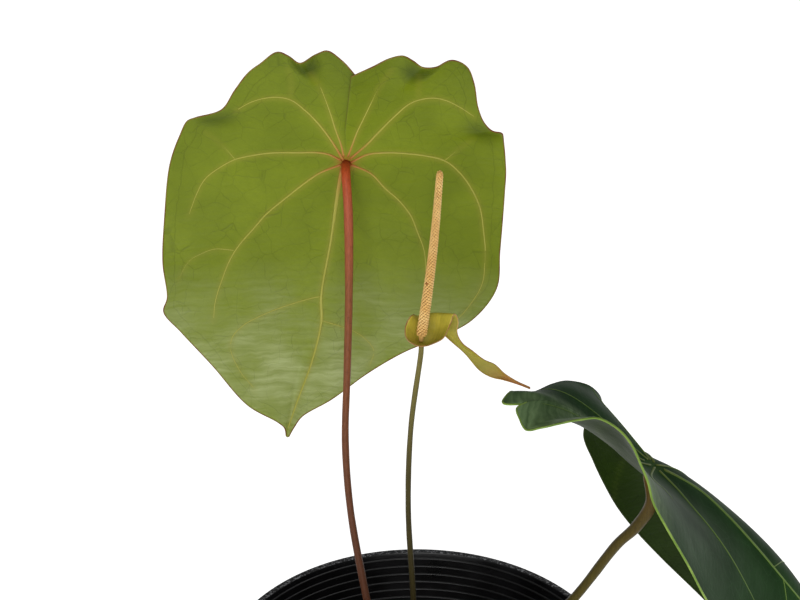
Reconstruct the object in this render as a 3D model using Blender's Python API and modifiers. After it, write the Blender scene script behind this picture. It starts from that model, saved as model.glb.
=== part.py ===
"""A flowering foliage plant in a ribbed black nursery pot: two leaves on long stalks, one small
bract with its spike, and the hidden stem, roots and bark mix. The pot stands on z = 0 with its
axis on Z; the plant leans left (-X), right (+X) and back (+Y) of it."""

import math

import bmesh
import bpy
import numpy as np

# Sizes in metres. Overall sizes come first.
POT_RIM_DIAMETER = 0.180
POT_HEIGHT = 0.150
POT_BASE_DIAMETER = 0.134
POT_WALL = 0.0014
POT_FLOOR = 0.0018
RIM_WIDTH = 0.0032
RIM_DEPTH = 0.0050
FOOT_RADIUS = 0.0020
DRAIN_HOLES = 8
DRAIN_HOLE_DIAMETER = 0.010
DRAIN_CIRCLE_DIAMETER = 0.090

MIX_BELOW_RIM = 0.062
STEM_DIAMETER = 0.016
STEM_LENGTH = 0.052
STEM_ABOVE_MIX = 0.008
ROOT_COUNT = 5
ROOT_DIAMETER = 0.005
ROOT_TIP_DIAMETER = 0.0026

CATAPHYLL_HEIGHT = 0.026
CATAPHYLL_THICKNESS = 0.0007
CATAPHYLL_LEAN = 0.0035

LEAF_1_LENGTH = 0.190  # from the tip to the furthest lobe
LEAF_2_LENGTH = 0.238
BLADE_THICKNESS = 0.0009
PETIOLE_1_DIAMETER = 0.0034
PETIOLE_2_DIAMETER = 0.0043
PEDUNCLE_DIAMETER = 0.0024
SPADIX_LENGTH = 0.069
SPADIX_DIAMETER = 0.0041
SPADIX_BOW = 0.0008
STIPE_HEIGHT = 0.0022
STIPE_DIAMETER = 0.0022
SPATHE_THICKNESS = 0.0007

GAP = 0.0003  # between pieces that touch
JOINT_GAP = 0.0008  # between a stalk's head and its blade, which dimples there
MM = 0.001

# Where the stalks end, measured from the top of the stem.
LEAF_1_ATTACHMENT = (-0.031, 0.055, 0.2705)
LEAF_2_ATTACHMENT = (0.093, -0.022, 0.1706)
FLOWER_BASE = (0.0, 0.0, 0.2144)

# Levels that follow from the sizes.
MIX_TOP = POT_HEIGHT - MIX_BELOW_RIM
CROWN = MIX_TOP + STEM_ABOVE_MIX
STEM_RADIUS = STEM_DIAMETER / 2

# Each blade: its tangent plane where the stalk joins, and its margin in millimetres from there,
# (right, back, up), from one side of the sinus round by the tip to the other side. Fullness and
# lift shape the four quarters of the blade: towards the tip, one side, the lobes, the other side.
LEAF_1 = {
    "normal": (0.0, 0.966, 0.259),
    "fullness": (1.0, 1.0, 1.0, 1.0),
    "lift": (0.0, 0.0, 0.0, 0.0),
    "tip": (-28, -7, -128),
    "margin": [
        (3, -15, 42), (-2, -14, 48), (-7, -14, 52), (-11, -13, 50), (-16, -13, 46),
        (-21, -12, 49), (-26, -12, 51), (-33, -11, 46), (-38, -10, 42), (-44, -8, 34),
        (-50, -6, 25), (-59, -5, 22), (-64, -5, 20), (-68, -4, 13), (-73, -2, 0),
        (-77, 0, -24), (-79, -1, -45), (-78, -2, -61), (-80, -2, -68), (-73, -3, -77),
        (-60, -4, -93), (-45, -6, -112), (-32, -7, -120), (-29, -7, -123), (-28, -7, -128),
        (-25, -7, -123), (-21, -7, -117), (-8, -6, -109), (8, -4, -97), (24, -3, -87),
        (40, -2, -80), (54, -1, -72), (64, 0, -58), (65, -2, -39), (66, -4, -13),
        (66, -6, 1), (63, -8, 16), (58, -9, 18), (54, -10, 27), (52, -11, 38),
        (49, -12, 45), (43, -13, 48), (36, -13, 45), (30, -14, 45), (27, -14, 48),
        (24, -14, 50), (19, -14, 49), (13, -15, 46), (5, -15, 42),
    ],
}
LEAF_2 = {
    "normal": (0.50, -0.08, 0.80),
    "fullness": (1.21, 0.88, 1.05, 1.0),
    "lift": (0.0108, -0.0062, 0.0114, 0.0220),
    "tip": (92, -8, -132),
    "margin": [
        (-54, -17, 38), (-58, -20, 37), (-57, -24, 35), (-55, -30, 34), (-50, -39, 40),
        (-45, -50, 48), (-39, -61, 56), (-33, -69, 61), (-27, -75, 60), (-23, -78, 56),
        (-20, -80, 50), (-17, -81, 43), (-15, -82, 36), (-9, -81, 24), (0, -78, 7),
        (9, -72, -12), (30, -54, -51), (59, -31, -92), (92, -8, -132), (77, 12, -122),
        (52, 28, -108), (33, 36, -90), (15, 41, -73), (3, 43, -60), (-6, 44, -48),
        (-13, 44, -35), (-18, 44, -24), (-23, 42, -10), (-21, 42, -1), (-17, 40, 7),
        (-22, 36, 16), (-32, 30, 22), (-40, 20, 26), (-48, 10, 28), (-55, 0, 33),
        (-59, -8, 38), (-62, -16, 38), (-61, -17, 38), (-53, -15, 37),
    ],
}

# The bract as cross-sections from its front lip over the fold to its long tip, in millimetres
# from the top of the flower stalk: left edge, right edge and middle of each.
SPATHE_SECTIONS = [
    ((-3.2, -5.0, 1.9), (3.5, -5.0, 1.7), (0, -6.0, 1.6)),
    ((-6.0, -2.0, 3.3), (8.7, -1.0, 2.7), (0.8, 0.0, 0.0)),
    ((-6.2, 1.0, 7.0), (11.2, 2.0, 6.6), (2.9, 6.0, 3.3)),
    ((-4.0, 3.0, 10.6), (13.1, 2.0, 11.9), (4.5, 8.5, 9.0)),
    ((-0.5, 9.5, 6.5), (14.8, 4.5, 7.4), (7.8, 12.0, 5.0)),
    ((7.0, 9.0, 1.3), (14.5, 5.0, 2.0), (10.6, 9.0, 0.8)),
    ((12.6, 7.0, -3.2), (16.7, 5.0, -2.6), (14.7, 7.0, -3.2)),
    ((17.6, 6.0, -7.6), (20.7, 5.0, -6.0), (19.2, 6.0, -7.0)),
    ((24.1, 4.0, -14.8), (25.7, 5.0, -10.1), (24.9, 5.0, -12.6)),
    ((29.0, 3.0, -17.3), (30.1, 4.0, -11.8), (29.4, 4.0, -14.8)),
    ((33.0, 2.0, -17.8), (33.8, 2.0, -14.8), (33.5, 3.0, -16.6)),
    ((37.9, 1.0, -18.9), (38.3, 1.0, -17.5), (38.1, 1.2, -18.3)),
    ((44.4, 0.0, -21.0), (44.4, 0.0, -20.2), (44.4, 0.3, -20.7)),
]

# Stalk routes in millimetres from the top of the stem, between their foot and their head.
PETIOLE_1_ROUTE = [
    (-17, 5, 50), (-24, 9, 88), (-30, 16, 125), (-32, 23, 155), (-31, 30, 185), (-30, 38, 220),
    (-30, 45, 252),
]
PETIOLE_2_ROUTE = [(27, -10, 48), (47, -13, 77), (65, -15, 101), (80, -19, 131), (87, -22, 142), (92, -23, 154)]
PEDUNCLE_ROUTE = [(-1, 3, 50), (-3, 2, 95), (-5, 2, 135), (-4, 1, 175)]

for leftover in list(bpy.data.objects):
    bpy.data.objects.remove(leftover, do_unlink=True)

parts = bpy.data.collections.new("potted_plant")
cutters = bpy.data.collections.new("cutters")
bpy.context.scene.collection.children.link(parts)
bpy.context.scene.collection.children.link(cutters)


def material(name, colour, roughness):
    made = bpy.data.materials.new(name)
    made.use_nodes = True
    shader = made.node_tree.nodes["Principled BSDF"]
    shader.inputs["Base Color"].default_value = (*colour, 1.0)
    shader.inputs["Roughness"].default_value = roughness
    shader.inputs["Metallic"].default_value = 0.0
    return made


def add_object(name, data, finish=None):
    """A part when it has a finish, and otherwise a cutter."""
    made = bpy.data.objects.new(name, data)
    if finish is None:
        made.hide_render = True
        made.display_type = "WIRE"
        cutters.objects.link(made)
    else:
        data.materials.append(finish)
        parts.objects.link(made)
    return made


def shade_smooth(made, angle=40):
    made.data.shade_smooth()
    made.data.set_sharp_from_angle(angle=math.radians(angle))


def smooth_path(points, count):
    """Evenly spaced points on a smooth curve through the given ones."""
    knots = np.asarray(points, float)
    step = np.linalg.norm(np.diff(knots, axis=0), axis=1) ** 0.5
    at = np.concatenate([[0.0], np.cumsum(step)])
    slope = np.diff(knots, axis=0) / step[:, None]
    tangent = np.empty_like(knots)
    tangent[0], tangent[-1] = slope[0], slope[-1]
    before, after = step[:-1, None], step[1:, None]
    tangent[1:-1] = (slope[:-1] * after + slope[1:] * before) / (before + after)

    def on_curve(where):
        i = np.clip(np.searchsorted(at, where, side="right") - 1, 0, len(step) - 1)
        t = ((where - at[i]) / step[i])[:, None]
        h = step[i][:, None]
        start = (2 * t**3 - 3 * t**2 + 1) * knots[i] + (t**3 - 2 * t**2 + t) * h * tangent[i]
        end = (3 * t**2 - 2 * t**3) * knots[i + 1] + (t**3 - t**2) * h * tangent[i + 1]
        return start + end

    fine = np.linspace(0.0, at[-1], count * 8)
    walked = np.linalg.norm(np.diff(on_curve(fine), axis=0), axis=1)
    length = np.concatenate([[0.0], np.cumsum(walked)])
    return on_curve(np.interp(np.linspace(0.0, length[-1], count), length, fine))


def turned(name, profile, steps, finish=None):
    """A profile in X and Z, given up the inside and down the outside, turned about Z."""
    mesh = bpy.data.meshes.new(name)
    made = add_object(name, mesh, finish)
    mesh.from_pydata([(x, 0.0, z) for x, z in profile], [(i, i + 1) for i in range(len(profile) - 1)], [])
    screw = made.modifiers.new("turn", "SCREW")
    screw.axis = "Z"
    screw.steps = steps
    screw.render_steps = steps
    screw.use_merge_vertices = True
    screw.merge_threshold = 0.00001
    return made


def tube(name, path, radii, finish=None):
    """A round rod along a path, with a radius for each point."""
    curve = bpy.data.curves.new(name, "CURVE")
    curve.dimensions = "3D"
    curve.bevel_depth = 1.0
    curve.bevel_resolution = 2
    curve.use_fill_caps = True
    spline = curve.splines.new("POLY")
    spline.points.add(len(path) - 1)
    for point, place, radius in zip(spline.points, path, radii):
        point.co = (*place, 1.0)
        point.radius = radius
    return add_object(name, curve, finish)


def as_mesh(made):
    """The tube as a mesh object of the same name, with its caps joined on, ready for a Boolean."""
    graph = bpy.context.evaluated_depsgraph_get()
    mesh = bpy.data.meshes.new_from_object(made.evaluated_get(graph))
    work = bmesh.new()
    work.from_mesh(mesh)
    bmesh.ops.remove_doubles(work, verts=work.verts, dist=0.000005)
    bmesh.ops.recalc_face_normals(work, faces=work.faces)
    work.to_mesh(mesh)
    work.free()
    name = made.name
    bpy.data.objects.remove(made, do_unlink=True)
    return add_object(name, mesh)


def cut(made, cutter):
    boolean = made.modifiers.new(cutter.name, "BOOLEAN")
    boolean.operation = "DIFFERENCE"
    boolean.solver = "EXACT"
    boolean.object = cutter


def inner_radius(z):
    """Inside radius of the pot wall at height z."""
    taper = (POT_RIM_DIAMETER / 2 - RIM_WIDTH - POT_BASE_DIAMETER / 2 + POT_WALL) / POT_HEIGHT
    return POT_BASE_DIAMETER / 2 - POT_WALL + taper * z


def make_pot():
    rim = POT_RIM_DIAMETER / 2
    base = POT_BASE_DIAMETER / 2
    under_rim = POT_HEIGHT - RIM_DEPTH
    profile = [(0.0, POT_FLOOR), (inner_radius(POT_FLOOR), POT_FLOOR)]
    profile += [(inner_radius(POT_HEIGHT), POT_HEIGHT), (rim, POT_HEIGHT), (rim, under_rim)]
    profile += [(inner_radius(under_rim) + POT_WALL, under_rim)]
    for i in range(5):
        angle = math.radians(90 * i / 4)
        profile.append((base - FOOT_RADIUS * (1 - math.cos(angle)), FOOT_RADIUS * (1 - math.sin(angle))))
    profile.append((0.0, 0.0))
    black = material("black polypropylene", (0.012, 0.012, 0.013), 0.45)
    pot = turned("nursery_pot", profile, 72, black)
    for i in range(DRAIN_HOLES):
        angle = 2 * math.pi * i / DRAIN_HOLES
        bpy.ops.mesh.primitive_cylinder_add(vertices=16, radius=DRAIN_HOLE_DIAMETER / 2, depth=6 * POT_FLOOR)
        cutter = bpy.context.object
        cutter.name = f"drain_hole_{i + 1}"
        cutter.location = (
            DRAIN_CIRCLE_DIAMETER / 2 * math.cos(angle),
            DRAIN_CIRCLE_DIAMETER / 2 * math.sin(angle),
            POT_FLOOR / 2,
        )
        for collection in list(cutter.users_collection):
            collection.objects.unlink(cutter)
        cutters.objects.link(cutter)
        cutter.hide_render = True
        cutter.display_type = "WIRE"
        cut(pot, cutter)
    return pot


def stem_profile(extra):
    """The stem's half outline, grown by extra all round."""
    radius = STEM_RADIUS + extra
    top = CROWN + (0.010 if extra else 0.0)
    bottom = CROWN - STEM_LENGTH - extra
    nose = 0.6 * STEM_RADIUS
    profile = [(0.0, top), (radius, top), (radius, bottom + nose)]
    for i in range(1, 4):
        angle = math.radians(90 * i / 4)
        profile.append((radius * math.cos(angle), bottom + nose * (1 - math.sin(angle))))
    profile.append((0.0, bottom))
    return profile


def root_path(i, start_radius):
    """Out from the stem's side and down towards the pot's wall, with a sideways swing."""
    azimuth = 2 * math.pi * (i / ROOT_COUNT) + 0.35
    start_z = CROWN - 0.030 - 0.0016 * i
    end_z = POT_FLOOR + 0.018 + 0.004 * (i % 3)
    end_radius = inner_radius(end_z) - 0.012
    path = []
    for j in range(11):
        t = j / 10
        radius = start_radius + (end_radius - start_radius) * t**0.8
        swing = azimuth + 0.45 * t * t
        z = start_z + (end_z - start_z) * t**1.7
        path.append((radius * math.cos(swing), radius * math.sin(swing), z))
    return path


def root_radii(extra):
    taper = np.linspace(ROOT_DIAMETER / 2, ROOT_TIP_DIAMETER / 2, 11)
    return list(taper + extra)


def make_roots(mix):
    pale = material("fleshy root", (0.52, 0.44, 0.30), 0.7)
    for i in range(ROOT_COUNT):
        path = root_path(i, STEM_RADIUS + 2 * GAP)
        tube(f"root_{i + 1}", path, root_radii(0.0), pale)
        start = np.array(path[0])
        inward = start - np.array([start[0], start[1], 0.0]) * (3.0 * GAP / STEM_RADIUS + 0.12)
        along = np.array(path[-1]) - np.array(path[-2])
        beyond = np.array(path[-1]) + along / np.linalg.norm(along) * 2 * GAP
        channel = tube(f"root_channel_{i + 1}", [inward, *path, beyond], [ROOT_DIAMETER / 2 + 2 * GAP] * 13)
        cut(mix, as_mesh(channel))


def make_mix():
    bottom = POT_FLOOR + GAP
    profile = [(0.0, MIX_TOP), (inner_radius(MIX_TOP) - GAP, MIX_TOP)]
    profile += [(inner_radius(bottom) - GAP, bottom), (0.0, bottom)]
    bark = material("bark and peat mix", (0.07, 0.04, 0.025), 0.95)
    mix = turned("potting_mix", profile, 48, bark)
    cut(mix, turned("stem_hole", stem_profile(GAP), 24))
    return mix


def make_stem():
    return turned("stem", stem_profile(0.0), 24, material("stem bark", (0.20, 0.15, 0.07), 0.75))


def make_cataphyll(i, azimuth, half_span):
    """A thin pointed sheath that stands round part of the stem."""
    work = bmesh.new()
    bmesh.ops.create_grid(work, x_segments=8, y_segments=8, size=1.0)
    for vert in work.verts:
        up = (vert.co.y + 1) / 2
        turn = azimuth + vert.co.x * half_span * (1 - 0.85 * up**1.8)
        inner = STEM_RADIUS + GAP + CATAPHYLL_THICKNESS
        radius = inner + CATAPHYLL_LEAN * up**1.5
        height = MIX_TOP + GAP + 0.001 + CATAPHYLL_HEIGHT * up
        vert.co = (radius * math.cos(turn), radius * math.sin(turn), height)
    mesh = bpy.data.meshes.new(f"cataphyll_{i}")
    work.to_mesh(mesh)
    work.free()
    papery = material(f"papery sheath {i}", (0.30, 0.17, 0.08), 0.8)
    sheath = add_object(f"cataphyll_{i}", mesh, papery)
    thicken(sheath, CATAPHYLL_THICKNESS)


def thicken(made, thickness):
    solidify = made.modifiers.new("thickness", "SOLIDIFY")
    solidify.thickness = thickness
    solidify.offset = 0.0
    solidify.use_even_offset = False


def blade_scale(leaf, length):
    """From the margin's drawn size to the blade's real size."""
    from_tip = np.array(leaf["margin"], float) - leaf["tip"]
    return length / np.linalg.norm(from_tip, axis=1).max()


def softened(values, reach):
    """Each row averaged with its neighbours along the margin."""
    offsets = np.arange(-3 * reach, 3 * reach + 1)
    weight = np.exp(-0.5 * (offsets / reach) ** 2)
    weight /= weight.sum()
    before = 2 * values[:1] - values[1 : 3 * reach + 1][::-1]
    after = 2 * values[-1:] - values[-3 * reach - 1 : -1][::-1]
    padded = np.concatenate([before, values, after])
    return np.stack([np.convolve(column, weight, "valid") for column in padded.T], axis=-1)


def blade_surface(leaf, length, around, outward, soft):
    """Rows of points from the stalk's joint out to the margin, in metres from the joint."""
    scale = blade_scale(leaf, length)
    normal = np.array(leaf["normal"])
    normal = normal / np.linalg.norm(normal)
    margin = smooth_path(np.array(leaf["margin"], float) * scale, around)
    calm = softened(margin, soft)
    flat = calm - np.outer(calm @ normal, normal)
    reach = np.linalg.norm(calm, axis=1)
    flat /= np.linalg.norm(flat, axis=1)[:, None]
    tipward = np.array(leaf["tip"], float)
    tipward -= (tipward @ normal) * normal
    tipward /= np.linalg.norm(tipward)
    sideways = np.cross(normal, tipward)
    along = flat @ tipward
    across = flat @ sideways
    share = np.stack([along.clip(0) ** 2, across.clip(0) ** 2, (-along).clip(0) ** 2, (-across).clip(0) ** 2])
    fullness = np.array(leaf["fullness"]) @ share
    lift = np.array(leaf["lift"]) @ share * scale / MM
    control = 0.5 * (reach * fullness)[:, None] * flat
    raised = np.outer(lift, (0.0, 0.0, 1.0))
    f = outward[None, :, None]
    surface = 2 * f * (1 - f) * control[:, None] + f**2 * calm[:, None]
    surface += 4 * f**2 * (1 - f) * raised[:, None]
    return surface + f**5 * (margin - calm)[:, None]


def make_blade(name, leaf, length, attachment, around, rings, finish):
    """The surface as a grid, closed round the joint, slit along the sinus, then given its thickness."""
    outward = np.linspace(0.0, 1.0, rings + 1)[1:] ** 0.9
    surface = blade_surface(leaf, length, around, outward, 2)
    work = bmesh.new()
    bmesh.ops.create_grid(work, x_segments=around - 1, y_segments=rings - 1, size=1.0)
    root = np.array(attachment) + (0.0, 0.0, CROWN)
    inner = []
    for vert in work.verts:
        i = round((vert.co.x + 1) / 2 * (around - 1))
        j = round((vert.co.y + 1) / 2 * (rings - 1))
        vert.co = surface[i, j] + root
        if j == 0:
            inner.append((i, vert))
    inner = [vert for _, vert in sorted(inner, key=lambda pair: pair[0])]
    middle = work.verts.new(root)
    inner[-1].co = inner[0].co = (inner[0].co + inner[-1].co) / 2
    for first, second in zip(inner, inner[1:]):
        work.faces.new((middle, second, first))
    bmesh.ops.remove_doubles(work, verts=[inner[0], inner[-1]], dist=0.0001)
    bmesh.ops.recalc_face_normals(work, faces=work.faces)
    mesh = bpy.data.meshes.new(name)
    work.to_mesh(mesh)
    work.free()
    blade = add_object(name, mesh, finish)
    thicken(blade, BLADE_THICKNESS)
    shade_smooth(blade, 60)


def unit(vector):
    return np.array(vector, float) / np.linalg.norm(vector)


def stalk_head(attachment, normal, diameter):
    """The last points of a leaf stalk: it bends round to meet the blade square on, a gap short of it."""
    joint = np.array(attachment)
    inwards = unit(normal)
    clear = BLADE_THICKNESS / 2 + JOINT_GAP
    return [joint - inwards * (clear + share * diameter) for share in (1.1, 0.3, 0.0)]


def make_stalk(name, foot, route, head, radii, count, finish):
    """A stalk from the top of the stem, with radii given at even steps along it."""
    start = [np.array(foot) * STEM_RADIUS + (0.0, 0.0, GAP), np.array(foot) * STEM_RADIUS + (0.0, 0.0, 0.004)]
    points = start + [np.array(p) * MM for p in route] + head
    path = smooth_path(points, count) + (0.0, 0.0, CROWN)
    steps = np.linspace(0.0, 1.0, count)
    tube(name, path, np.interp(steps, np.linspace(0.0, 1.0, len(radii)), radii), finish)


def make_leaves():
    green = material("leaf green", (0.13, 0.18, 0.02), 0.4)
    dark_green = material("older leaf green", (0.02, 0.07, 0.02), 0.35)
    red = material("red-brown stalk", (0.20, 0.06, 0.02), 0.5)
    brown = material("olive-brown stalk", (0.17, 0.10, 0.03), 0.5)
    make_blade("leaf_1_blade", LEAF_1, LEAF_1_LENGTH, LEAF_1_ATTACHMENT, 97, 9, green)
    make_blade("leaf_2_blade", LEAF_2, LEAF_2_LENGTH, LEAF_2_ATTACHMENT, 89, 10, dark_green)
    first = PETIOLE_1_DIAMETER / 2
    head_1 = stalk_head(LEAF_1_ATTACHMENT, LEAF_1["normal"], PETIOLE_1_DIAMETER)
    make_stalk(
        "leaf_1_petiole", (-0.5, 0.05, 0.0), PETIOLE_1_ROUTE, head_1,
        [1.3 * first, 1.1 * first, first, 0.95 * first, first, 1.12 * first], 44, red,
    )
    second = PETIOLE_2_DIAMETER / 2
    head_2 = stalk_head(LEAF_2_ATTACHMENT, LEAF_2["normal"], PETIOLE_2_DIAMETER)
    make_stalk(
        "leaf_2_petiole", (0.46, -0.26, 0.0), PETIOLE_2_ROUTE, head_2,
        [1.15 * second, 1.05 * second, second, 0.95 * second, 1.05 * second, 1.2 * second], 36, brown,
    )


def make_flower():
    """The flower stalk, the bract round its top and the spike that stands in the bract."""
    base = np.array(FLOWER_BASE)
    under = SPATHE_THICKNESS / 2 + GAP
    radius = PEDUNCLE_DIAMETER / 2
    head = [base - (0.0, 0.0, under + 0.003), base - (0.0, 0.0, under)]
    make_stalk(
        "peduncle", (0.12, 0.44, 0.0), PEDUNCLE_ROUTE, head,
        [1.15 * radius, 1.1 * radius, radius, 0.92 * radius], 32, material("olive stalk", (0.16, 0.13, 0.04), 0.5),
    )
    work = bmesh.new()
    lengthwise, crosswise = 40, 10
    sections = np.array(SPATHE_SECTIONS) * MM
    edges = [smooth_path(sections[:, k], lengthwise + 1) for k in range(3)]
    bmesh.ops.create_grid(work, x_segments=lengthwise, y_segments=crosswise, size=1.0)
    for vert in work.verts:
        i = round((vert.co.x + 1) / 2 * lengthwise)
        u = vert.co.y
        left, right, middle = (edge[i] for edge in edges)
        chord = left * (1 - u) / 2 + right * (1 + u) / 2
        vert.co = chord + (middle - (left + right) / 2) * (1 - u * u) + base + (0.0, 0.0, CROWN)
    mesh = bpy.data.meshes.new("spathe")
    work.to_mesh(mesh)
    work.free()
    spathe = add_object("spathe", mesh, material("bract yellow-green", (0.35, 0.30, 0.04), 0.45))
    thicken(spathe, SPATHE_THICKNESS)

    foot = base + (0.0, 0.0, SPATHE_THICKNESS / 2 + GAP + 0.0004 + CROWN)
    lean = unit((0.10, 0.07, 1.0))
    path = [foot, foot + (0.0, 0.0, 0.6 * STIPE_HEIGHT)]
    radii = [STIPE_DIAMETER / 2, STIPE_DIAMETER / 2]
    spike_foot = foot + (0.0, 0.0, STIPE_HEIGHT)
    for j in range(25):
        t = j / 24
        bow = math.sin(math.pi * t) * SPADIX_BOW
        path.append(spike_foot + lean * SPADIX_LENGTH * t + np.array([bow, 0.0, 0.0]))
        blunt = math.sqrt(max(1 - (max(t - 0.97, 0) / 0.03) ** 2, 0.04))
        radii.append(SPADIX_DIAMETER / 2 * (1 - 0.42 * t) * blunt)
    tube("spadix", path, radii, material("spike cream", (0.72, 0.50, 0.18), 0.6))


make_pot()
bark_mix = make_mix()
make_stem()
make_roots(bark_mix)
for number, (degrees, span) in enumerate([(75, 35), (228, 30), (288, 24)], start=1):
    make_cataphyll(number, math.radians(degrees), math.radians(span))
make_leaves()
make_flower()
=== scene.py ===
import math
import random

import bmesh
import bpy
import numpy as np
from mathutils import Matrix, Vector, noise
from mathutils.bvhtree import BVHTree
from mathutils.kdtree import KDTree


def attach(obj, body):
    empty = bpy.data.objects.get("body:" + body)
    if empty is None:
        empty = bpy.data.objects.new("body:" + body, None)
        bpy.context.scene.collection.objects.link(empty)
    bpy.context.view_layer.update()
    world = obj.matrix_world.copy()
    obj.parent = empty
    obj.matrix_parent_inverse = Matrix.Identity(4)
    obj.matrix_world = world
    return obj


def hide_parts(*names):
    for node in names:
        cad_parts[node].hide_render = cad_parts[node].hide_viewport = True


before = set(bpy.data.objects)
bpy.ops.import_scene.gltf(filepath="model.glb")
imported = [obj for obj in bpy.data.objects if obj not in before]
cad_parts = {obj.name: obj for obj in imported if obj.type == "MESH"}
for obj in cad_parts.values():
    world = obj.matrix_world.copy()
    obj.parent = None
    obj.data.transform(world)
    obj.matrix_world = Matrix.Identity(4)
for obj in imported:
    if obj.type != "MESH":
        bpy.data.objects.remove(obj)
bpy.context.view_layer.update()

mm = 0.001
crown = Vector((0, 0, 0.096))  # top of the stem, where every stalk starts
mixTop = 0.088  # top of the bark mix


def colour(code):
    # sRGB hex to the linear values that the shader wants
    parts = [int(code[i:i + 2], 16) / 255 for i in (1, 3, 5)]
    return tuple(c / 12.92 if c <= 0.04045 else ((c + 0.055) / 1.055) ** 2.4 for c in parts) + (1.0,)


def addNode(tree, kind, inputs=None, out=0, stops=None, **settings):
    # inputs are named, or numbered from the top; gives back the output that out names
    node = tree.nodes.new("ShaderNode" + kind)
    for name, value in settings.items():
        setattr(node, name, value)
    for name, value in (inputs or {}).items():
        if isinstance(value, bpy.types.NodeSocket):
            tree.links.new(value, node.inputs[name])
        else:
            node.inputs[name].default_value = value
    for i, (place, code) in enumerate(stops or []):
        ramp = node.color_ramp.elements
        stop = ramp[i] if i < 2 else ramp.new(place)
        stop.position = place
        stop.color = colour(code)
    return node.outputs[out]


def startMaterial(name, roughness, ior=1.45, specular=0.5):
    made = bpy.data.materials.new(name)
    made.use_nodes = True
    tree = made.node_tree
    shader = tree.nodes["Principled BSDF"]
    shader.inputs["Roughness"].default_value = roughness
    shader.inputs["IOR"].default_value = ior
    shader.inputs["Specular IOR Level"].default_value = specular
    return made, tree, shader


def smoothPath(points, count):
    # evenly spaced points on a smooth curve through the given ones
    knots = np.asarray(points, float)
    step = np.linalg.norm(np.diff(knots, axis=0), axis=1) ** 0.5
    at = np.concatenate([[0.0], np.cumsum(step)])
    slope = np.diff(knots, axis=0) / step[:, None]
    tangent = np.empty_like(knots)
    tangent[0], tangent[-1] = slope[0], slope[-1]
    before, after = step[:-1, None], step[1:, None]
    tangent[1:-1] = (slope[:-1] * after + slope[1:] * before) / (before + after)

    def onCurve(where):
        i = np.clip(np.searchsorted(at, where, side="right") - 1, 0, len(step) - 1)
        t = ((where - at[i]) / step[i])[:, None]
        h = step[i][:, None]
        start = (2 * t**3 - 3 * t**2 + 1) * knots[i] + (t**3 - 2 * t**2 + t) * h * tangent[i]
        end = (3 * t**2 - 2 * t**3) * knots[i + 1] + (t**3 - t**2) * h * tangent[i + 1]
        return start + end

    fine = np.linspace(0.0, at[-1], count * 8)
    walked = np.linalg.norm(np.diff(onCurve(fine), axis=0), axis=1)
    length = np.concatenate([[0.0], np.cumsum(walked)])
    return onCurve(np.interp(np.linspace(0.0, length[-1], count), length, fine))


def gather(work, part):
    # moves a small bmesh into a larger one: operators slow down as the mesh that they work on grows
    carrier = bpy.data.meshes.new("carrier")
    part.to_mesh(carrier)
    part.free()
    work.from_mesh(carrier)
    bpy.data.meshes.remove(carrier)


def addTube(work, points, wide, high=None, ups=None, sides=10):
    # a closed tube along the points, added to the bmesh; wide and high are half its section
    points = [Vector(p) for p in points]
    high = wide if high is None else high
    tube = bmesh.new()
    bmesh.ops.create_circle(tube, cap_ends=True, segments=sides, radius=1.0)
    face = list(tube.faces)[0]
    last = len(points) - 1
    up = (points[1] - points[0]).orthogonal()
    placed = Matrix.Identity(4)
    for k, point in enumerate(points):
        along = (points[min(k + 1, last)] - points[max(k - 1, 0)]).normalized()
        up = Vector(ups[k]) if ups is not None else up
        up = (up - along * up.dot(along)).normalized()
        side = up.cross(along)
        station = Matrix((side * wide[k], up * high[k], along * mm)).transposed().to_4x4()
        station.translation = point
        if k:
            face = bmesh.ops.extrude_discrete_faces(tube, faces=[face])["faces"][0]
        bmesh.ops.transform(tube, matrix=station @ placed.inverted(), verts=list(face.verts))
        placed = station
    bmesh.ops.holes_fill(tube, edges=[e for e in tube.edges if e.is_boundary], sides=0)
    bmesh.ops.recalc_face_normals(tube, faces=tube.faces)
    gather(work, tube)


def spinProfile(profile, steps):
    # turns (radius, height) points round the vertical axis into a closed bmesh
    work = bmesh.new()
    verts = [work.verts.new((x, 0, z)) for x, z in profile]
    edges = [work.edges.new(pair) for pair in zip(verts, verts[1:])]
    bmesh.ops.spin(work, geom=verts + edges, axis=(0, 0, 1), cent=(0, 0, 0), steps=steps,
                   angle=2 * math.pi, use_merge=True)
    bmesh.ops.remove_doubles(work, verts=work.verts, dist=0.00001)
    return work


def addPiece(name, work, materials, nodes=(), recalc=True):
    if recalc:
        bmesh.ops.recalc_face_normals(work, faces=work.faces)
    mesh = bpy.data.meshes.new(name)
    work.to_mesh(mesh)
    work.free()
    for made in materials:
        mesh.materials.append(made)
    mesh.shade_smooth()
    piece = bpy.data.objects.new(name, mesh)
    bpy.context.scene.collection.objects.link(piece)
    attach(piece, "root")
    if nodes:
        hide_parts(*nodes)
    return piece


# studio: an evenly lit white table, soft boxes behind the camera and one overhead

studio = {
    "lens": 70,
    "eye": (-0.0085, -0.555, 0.593),
    "tiltDown": 25.4,
    "world": 0.22,
    "tableGlow": 0.86,
    "floor": "#f4f4f3",
    "lights": [
        # name, place, what it faces, width, height, watts
        ("frontBox", (-0.20, -1.9, 0.80), (0.0, 0.05, 0.28), 1.5, 0.9, 16),
        ("lowBox", (-0.15, -1.5, 0.16), (0.0, 0.05, 0.28), 1.3, 0.24, 4),
        ("topBox", (0.35, 0.25, 1.9), (0.0, 0.0, 0.2), 1.4, 1.2, 5),
    ],
}


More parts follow.
